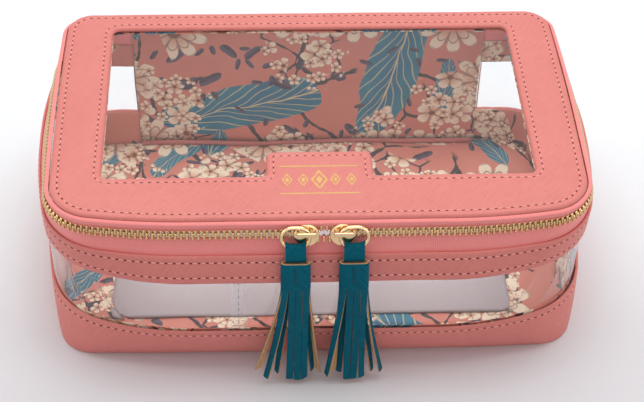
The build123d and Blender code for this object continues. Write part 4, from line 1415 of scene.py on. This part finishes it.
def head(word, side):
    """A rolled band: grained outside, raw at the rim and inside."""
    # Height, how far the outline grows there, and whether the faces that end there are raw
    levels = [(-HEAD_LENGTH, -0.12 * MM, False), (-HEAD_LENGTH + 0.2 * MM, 0, False)]
    levels += [(y, 0, False) for y in np.linspace(-12, -1.5, 8) * MM]
    levels += [(-0.25 * MM, 0, False), (-0.06 * MM, -0.1 * MM, False), (0, -0.25 * MM, True),
               (0.0, -RIND + 0.15 * MM, True), (-0.15 * MM, -RIND, True), (-3 * MM, -RIND, True)]
    verts, uvs = [], []
    outline = stadium(HEAD_WIDTH / 2, HEAD_DEPTH / 2)
    m = len(outline)
    round_at = distances(np.array(outline))
    for y, grow, _ in levels:
        shape = stadium(HEAD_WIDTH / 2 + grow, HEAD_DEPTH / 2 + grow)
        for (x, w), at in zip(shape, round_at):
            # The front dips a little at the rim, where the roll is pressed flat
            dip = 0.35 * MM * max(0.0, w / HEAD_DEPTH) * math.exp(-(x / (5 * MM)) ** 2) * (1 + y / HEAD_LENGTH)
            verts.append((side * Q_X + x, Q_Y - HEAD_TOP + y - dip, RING_LEVEL + HEAD_W + w))
            uvs.append((at, y))
    faces = stacked_faces(len(levels), m)
    raw = [r * m + j for r in range(len(levels) - 1) if levels[r + 1][2] for j in range(m)]
    raw += [len(faces) - 2, len(faces) - 1]
    obj = two_faced(make_object(f"tassel {word} head roll", front(verts, side), faces, uvs), raw)
    place(obj, f"tassel_{word}", "teal_leather", None, f"tassel_{word}_head")
    # The seam: a few loops of dark thread down the middle of the front
    t = np.linspace(0, 1, 60)
    x = 0.45 * MM * np.sin(t * math.pi * 5) - 0.3 * MM
    y = Q_Y - HEAD_TOP - (2.2 + 8.2 * t) * MM
    w = RING_LEVEL + HEAD_W + HEAD_DEPTH / 2 + 0.22 * MM * np.abs(np.sin(t * math.pi * 2.5)) - 0.02 * MM
    seam = tube(f"tassel {word} seam", front(np.column_stack([side * Q_X + x, y, w]), side), 0.2 * MM, 8)
    place(seam, f"tassel_{word}", "teal_leather", dark_thread)


wall_front = -wall(np.array([0.0]), np.array([(WINDOW_TOP + WINDOW_BOTTOM) / 2]))[0][1]


def tassel_back(z, q):
    """How far forward the tassel's back lies at a height: along the tape, then in front of the belly."""
    tilt = math.atan2(front_up[1], front_up[2])
    line = q[1] + STRAP_OUT - (q[2] - z) * math.tan(tilt)
    return np.maximum(line, -wall_front - 0.4 * MM)


# Each strip, in mm and degrees: place at the head (across, forward), place at the tip, twist at both ends, height of
# the tip above TIPS_UP and width. The first four go on from the front of the head, two come from its sides and three
# from behind.
TIPS_UP = 2.8
STRIP_THICK = 0.85 * MM
STRIPS = {
    "left": [
        (-4.75, 4.0, -13.6, 4.6, -14, -52, 0.9, 3.0), (-1.6, 4.4, -2.4, 5.4, -2, -12, 0.5, 3.1),
        (1.6, 4.4, 0.9, 5.8, 2, 4, 0.6, 3.1), (4.75, 4.0, 4.2, 5.2, 14, 20, 0.8, 3.0),
        (-6.1, 2.3, -17.4, 3.8, -84, -150, 7.0, 2.9), (6.1, 2.3, 11.2, 3.6, 84, 128, 4.4, 2.9),
        (-3.6, 0.7, -8.4, 2.0, -10, -60, 2.0, 3.1), (0.2, 0.7, -1.4, 2.2, 0, 14, 1.6, 3.1),
        (3.8, 0.7, 8.6, 1.7, 10, 58, 2.6, 3.0)],
    "right": [
        (-4.75, 4.0, -11.4, 5.2, -14, -64, 2.4, 3.0), (-1.6, 4.4, -1.5, 5.8, -2, -5, 0.6, 3.1),
        (1.6, 4.4, 1.8, 5.6, 2, 6, 0.5, 3.1), (4.75, 4.0, 5.2, 5.0, 14, 24, 1.0, 3.0),
        (-6.1, 2.3, -8.6, 3.8, -84, -146, 4.6, 2.9), (6.1, 2.3, 14.2, 3.6, 84, 62, 3.4, 2.9),
        (-3.6, 0.7, -5.6, 2.2, -10, -36, 1.6, 3.1), (0.2, 0.7, 0.8, 2.0, 0, -10, 1.4, 3.1),
        (3.8, 0.7, 10.4, 2.1, 10, 66, 2.2, 3.0)],
}


# Across a strip, in shares of its width and thickness. The first sides are the grained front, the others are raw.
STRIP_SECTION = [(-0.5, -0.3), (-0.46, -0.5), (-0.2, -0.5), (0.2, -0.5), (0.46, -0.5), (0.5, -0.3),
                 (0.5, 0.5), (0.2, 0.5), (-0.2, 0.5), (-0.5, 0.5)]
GRAINED_SIDES = 5


def fringe(word, side):
    """Nine strips. Each runs from the head's foot to its own tip, bent a little and cupped."""
    rng = random.Random(31 if side < 0 else 57)
    q = front([(side * Q_X, Q_Y, RING_LEVEL)], side)[0]
    foot = front([(side * Q_X, Q_Y - HEAD_TOP - HEAD_LENGTH, RING_LEVEL)])[0][2]
    verts, uvs, faces, raw = [], [], [], []
    levels, m = 26, len(STRIP_SECTION)
    t = np.linspace(0, 1, levels)
    for top_x, top_forward, tip_x, tip_forward, top_twist, tip_twist, tip_z, width in STRIPS[word]:
        top = foot + (top_forward * MM - STRAP_OUT) * 0.31 + 0.3 * MM
        z = top + ((tip_z + TIPS_UP) * MM - top) * t
        wave, phase = rng.uniform(0.1, 0.45) * MM, rng.uniform(0, 6)
        x = (top_x + (tip_x - top_x) * (0.3 * t + 0.7 * t**1.5)) * MM + wave * t * np.sin(4.2 * t + phase)
        forward = (top_forward + (tip_forward - top_forward) * t**1.3) * MM
        y = tassel_back(z, q) - forward - 2.6 * MM * t**1.5 - rng.uniform(-0.3, 0.5) * MM * t**3
        y = np.convolve(np.pad(y, 3, mode="edge"), np.ones(7) / 7, mode="valid")
        angle = np.radians(top_twist + (tip_twist - top_twist) * t**0.8)
        slant = rng.uniform(-0.5, 0.5) * MM
        start = len(verts)
        for k in range(levels):
            ca, sa = math.cos(angle[k]), math.sin(angle[k])
            for ux, uy in STRIP_SECTION:
                cup = 0.22 * MM * ((abs(ux) * 2) ** 2 - 0.3) * t[k]
                dx, dy = ux * width * (1 + 0.08 * t[k]) * MM, uy * STRIP_THICK + cup
                rise = slant * ux * 2 if k == levels - 1 else 0.0
                verts.append((q[0] + x[k] + dx * ca - dy * sa, y[k] + dx * sa + dy * ca, z[k] + rise))
                uvs.append((top_x * MM + dx, z[k]))
        for k in range(levels - 1):
            for j in range(m):
                a, b = start + k * m + j, start + k * m + (j + 1) % m
                if j >= GRAINED_SIDES:
                    raw.append(len(faces))
                faces.append((a, b, b + m, a + m))
        for end in (0, levels - 1):
            raw.append(len(faces))
            faces.append(tuple(start + end * m + j for j in range(m)))
    obj = two_faced(make_object(f"tassel {word} strips", verts, faces, uvs), raw)
    auto_smooth(obj, 40)
    place(obj, f"tassel_{word}", "teal_leather", None, f"tassel_{word}_fringe")


for word, side in (("left", -1), ("right", 1)):
    strap(word, side)
    head(word, side)
    fringe(word, side)

# %% [markdown]
# The sewing. Every seam is a row of short arched threads with a small dark disc at each end, painted shade of the
# needle hole. The thread follows the same surface that the leather has, groove and unevenness included, so that it
# neither floats nor sinks.

# %% Stitches
STITCH, THREAD_LENGTH, THREAD, HOLE_SIZE = 3.7 * MM, 2.6 * MM, 0.3 * MM, 0.34 * MM


def walk(points, normals, pitch, closed=False):
    """Places, directions and normals at equal steps along a line of points."""
    if closed:
        points, normals = np.vstack([points, points[:1]]), np.vstack([normals, normals[:1]])
    at = distances(points)
    count = max(1, round(at[-1] / pitch))
    middles = (np.arange(count) + 0.5) * at[-1] / count

    def sample(values, where):
        return np.stack([np.interp(where, at, values[:, k]) for k in range(3)], axis=1)

    ahead = sample(points, middles + 0.3 * pitch) - sample(points, middles - 0.3 * pitch)
    ahead /= np.linalg.norm(ahead, axis=1)[:, None]
    up = sample(normals, middles)
    up -= ahead * np.sum(ahead * up, axis=1)[:, None]
    up /= np.linalg.norm(up, axis=1)[:, None]
    return sample(points, middles), ahead, up


def stitches(name, points, normals, body, slot, closed=False, pitch=STITCH, length=THREAD_LENGTH, width=THREAD,
             material=thread, hole_material=hole, hole_size=HOLE_SIZE, seed=1):
    """One mesh with a whole row of stitches: a thread and two hole discs for each, whose default dark colour is
    painted shade of the needle holes.
    """
    rng = random.Random(seed)
    centre, ahead, up = walk(np.asarray(points), np.asarray(normals), pitch, closed)
    side = np.cross(ahead, up)
    steps, round_steps, hole_steps = 7, 6, 8
    t = np.linspace(-1, 1, steps)
    swell = np.sqrt(np.maximum(0.0, 1 - (np.abs(t) ** 2.6))) * 0.75 + 0.25
    angles = np.linspace(0, 2 * math.pi, round_steps, endpoint=False)
    verts, faces, holes = [], [], []
    for c, a, n, s in zip(centre, ahead, up, side):
        turn = rng.uniform(-0.07, 0.07)
        along = a + s * turn
        start = len(verts)
        for k in range(steps):
            middle = c + along * t[k] * length / 2 + n * (0.45 * width * (1 - t[k] ** 2) - 0.05 * width)
            for angle in angles:
                verts.append(middle + (s * math.cos(angle) * 1.15 + n * math.sin(angle)) * width * swell[k])
        for k in range(steps - 1):
            for j in range(round_steps):
                p, q = start + k * round_steps + j, start + k * round_steps + (j + 1) % round_steps
                faces.append((p, q, q + round_steps, p + round_steps))
        faces.append(tuple(start + j for j in range(round_steps))[::-1])
        faces.append(tuple(start + (steps - 1) * round_steps + j for j in range(round_steps)))
        # Each hole is a flat disc just above the surface; its colour is painted shade of the needle hole.
        for end in (-1, 1):
            disc = len(verts)
            middle = c + along * end * (length / 2 + 0.25 * MM) + n * 0.13 * MM
            for angle in np.linspace(0, 2 * math.pi, hole_steps, endpoint=False):
                verts.append(middle + (a * math.cos(angle) * 1.35 + s * math.sin(angle) * 1.2) * hole_size)
            holes.append(len(faces))
            faces.append(tuple(disc + j for j in range(hole_steps)))
    obj = make_object(name, verts, faces)
    obj.data.materials.append(material)
    obj.data.materials.append(hole_material)
    for index in holes:
        face = obj.data.polygons[index]
        face.material_index = 1
        if face.normal.dot(Vector(up[0])) < 0:
            face.flip()
    place(obj, body, slot, None)


# A piece's own unevenness is found by the length of its name
LID_SEED = len("lid frame")


def lid_surface(loop):
    """Points on the lid's sewn groove above a flat outline."""
    flat = np.column_stack([loop, np.zeros(len(loop))])
    lift = (lid_height(loop[:, 0], loop[:, 1], np.full(len(loop), LID_ROW))
            + ruffle(flat, LID_UNEVEN, PLATE_SCALE, LID_SEED))
    return np.column_stack([loop, HEIGHT + lift]), np.tile([0.0, 0.0, 1.0], (len(loop), 1))


points, normals = lid_surface(resample(whole_ring(HEIGHT, LID_ROW), 1 * MM))
stitches("lid outer stitches", points, normals, "lid", "coral_leather", closed=True)
points, normals = lid_surface(resample(opening_outline(LID_ROW), 0.5 * MM))
stitches("lid inner stitches", points, normals, "lid", "coral_leather", closed=True, seed=2)

for name, seed_name, row in (("lower band stitches", "lower band", LOWER_ROWS[0]),
                             ("upper band low stitches", "upper band", UPPER_ROWS[0]),
                             ("upper band high stitches", "upper band", UPPER_ROWS[1])):
    end = back_end(row)[0] - 2 * MM
    u = np.linspace(-end, end, 1200)
    z = np.full(len(u), row)
    points, normals = wall(u, z, GROOVE), wall_out(u, z)
    points = points + normals * ruffle(points, SOFT, SOFT_SCALE, len(seed_name))[:, None]
    stitches(name, points, normals, "case", "coral_leather", seed=len(name))

# Both upright edges of the back panel
for word, side in (("left", -1), ("right", 1)):
    z = np.linspace(3 * MM, ZIP_Z - 4 * MM, 120)
    points = np.column_stack([np.full(len(z), side * (BACK_HALF - EDGE_ROW)), np.full(len(z), BACK), z])
    points[:, 1] += ruffle(points, BACK_UNEVEN, BACK_SCALE, len("back panel"))
    normals = np.tile([0.0, 1.0, 0.0], (len(z), 1))
    stitches(f"back edge stitches {word}", points, normals, "case", "coral_leather", seed=9 + side)

# The lap seam of the clear sheet, left of the middle
seam_z = np.linspace(WINDOW_BOTTOM + 1 * MM, WINDOW_TOP - 1 * MM, 60)
seam_u = np.full(60, WINDOW_SEAM)
points, normals = wall(seam_u, seam_z, SHEET_IN), wall_out(seam_u, seam_z)
points = points + normals * (slack(seam_u, seam_z) + 0.05 * MM)[:, None]
white_thread = plain("white thread", colour(226, 220, 222), 0.6)
pin_hole = plain("needle hole in the sheet", colour(150, 144, 152), 0.6)
stitches("window seam stitches", points, normals, "case", "clear_sheet", pitch=4.2 * MM, length=2.7 * MM,
         width=0.14 * MM, material=white_thread, hole_material=pin_hole, hole_size=0.26 * MM)

# %% [markdown]
# The tab carries a small gold ornament, pressed into the leather: five lozenges between two fine rules.

# %% Ornament
def foil_patch(outline, lift=0.03 * MM):
    """A flat patch of foil on the lid, from an outline of (x, y) points."""
    flat = np.array(outline)
    z = HEIGHT + PADDED + ruffle(np.column_stack([flat, np.zeros(len(flat))]), LID_UNEVEN, PLATE_SCALE, LID_SEED)
    return [tuple(p) for p in np.column_stack([flat, z + lift])]


ORNAMENT_X, ORNAMENT_Y = -0.5 * MM, -51 * MM
foil_verts, foil_faces = [], []


def add_foil(outline):
    start = len(foil_verts)
    foil_verts.extend(foil_patch(outline))
    foil_faces.append(tuple(range(start, start + len(outline))))


# Two rules, in short pieces so that they follow the leather
for y in (-9.0, 9.0):
    for k in range(12):
        x0 = ORNAMENT_X + (-18 + 3 * k) * MM
        x1, y0 = x0 + 3 * MM, ORNAMENT_Y + y * MM
        low, high = y0 - 0.35 * MM, y0 + 0.35 * MM
        add_foil([(x0, low), (x1, low), (x1, high), (x0, high)])
# Five lozenges, each a frame round a small solid one, with the largest in the middle
for k in range(5):
    cx = ORNAMENT_X + (k - 2) * 7.3 * MM
    big = 5.2 if k == 2 else 3.3
    for outer, inner in ((1.0, 0.74), (0.4, 0.0)):
        corners = [(0.75, 0), (0, 1.25), (-0.75, 0), (0, -1.25)]
        for (ax, ay), (bx, by) in zip(corners, corners[1:] + corners[:1]):
            ring = [(ax * outer, ay * outer), (bx * outer, by * outer)]
            ring += [(bx * inner, by * inner), (ax * inner, ay * inner)] if inner else [(0, 0)]
            add_foil([(cx + x * big * MM, ORNAMENT_Y + y * big * MM) for x, y in ring])
ornament = make_object("gold ornament", foil_verts, foil_faces, smooth=False)
place(ornament, "lid", "gold_metal", foil)

# %% [markdown]
# The bag stands on pale paper under one large soft light from above. Weaker ones stand on both sides, behind and in
# front. The paper darkens towards the front: painted shade. What the camera sees of the world, and what shines in the
# gold and the clear sheet, is white.

# %% Floor and light
bpy.ops.mesh.primitive_plane_add(size=6, location=(0, 0.4, 0))
floor = bpy.context.object
floor.name = "paper_floor"
paper, n, shader, out = new_material("pale paper")
split = n.add("SeparateXYZ")
n.link(object_of(n), split.inputs[0])
# Painted shade: the paper's colour darkens towards the front of the bag.
front_shade = n.ramp(split.outputs[1], -0.62, -0.25, 1.0, 0.0)
n.link(n.mix(front_shade, colour(243, 246, 248), colour(216, 211, 214)), shader.inputs["Base Color"])
shader.inputs["Roughness"].default_value = 0.8
shader.inputs["Specular IOR Level"].default_value = 0.2
floor.data.materials.append(paper)
floor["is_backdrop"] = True


def area_light(name, at, towards, size, power, depth=None):
    data = bpy.data.lights.new(name, "AREA")
    data.shape = "RECTANGLE"
    data.size = size
    data.size_y = depth or size
    data.energy = power
    lamp = bpy.data.objects.new(name, data)
    bpy.context.scene.collection.objects.link(lamp)
    lamp.location = at
    lamp.rotation_euler = (Vector(towards) - Vector(at)).to_track_quat("-Z", "Y").to_euler()
    print("light:", name, power, "W")


area_light("overhead", (0.05, 0.35, 1.5), (0, 0.02, 0), 1.5, 16.5, depth=1.2)
area_light("left side", (-1.4, 0.0, 0.7), (0, 0, 0.05), 0.9, 4)
area_light("right side", (1.4, -0.1, 0.7), (0, 0, 0.05), 0.9, 3.8)
area_light("behind", (0.1, 1.7, 0.35), (0, 0, 0.05), 0.8, 1.5)
area_light("front fill", (0.2, -1.5, 0.7), (0, 0, 0.04), 1.2, 2.2)

world = bpy.data.worlds.new("studio")
bpy.context.scene.world = world
world.use_nodes = True
tree = world.node_tree
n = Nodes(tree)
soft = tree.nodes["Background"]
soft.inputs["Color"].default_value = (0.98, 0.99, 1.0, 1)
soft.inputs["Strength"].default_value = 0.42
white = n.add("Background")
white.inputs["Color"].default_value = (1, 1, 1, 1)
white.inputs["Strength"].default_value = 0.98
path = n.add("LightPath")
seen = n.math("MAXIMUM", path.outputs["Is Camera Ray"],
              n.math("MAXIMUM", path.outputs["Is Glossy Ray"], path.outputs["Is Transmission Ray"]))
choose = n.add("MixShader")
n.link(seen, choose.inputs[0])
n.link(soft.outputs[0], choose.inputs[1])
n.link(white.outputs[0], choose.inputs[2])
n.link(choose.outputs[0], tree.nodes["World Output"].inputs["Surface"])

# %% [markdown]
# Last, the object's box is printed beside the imported model's box, so that the two can be compared.

# %% Sizes and finish
shown_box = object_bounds()
lines = {"frame_box_m": [list(c) for c in cad_box], "shown_box_m": [list(c) for c in shown_box]}
print("frame box", lines["frame_box_m"])
print("shown box", lines["shown_box_m"])
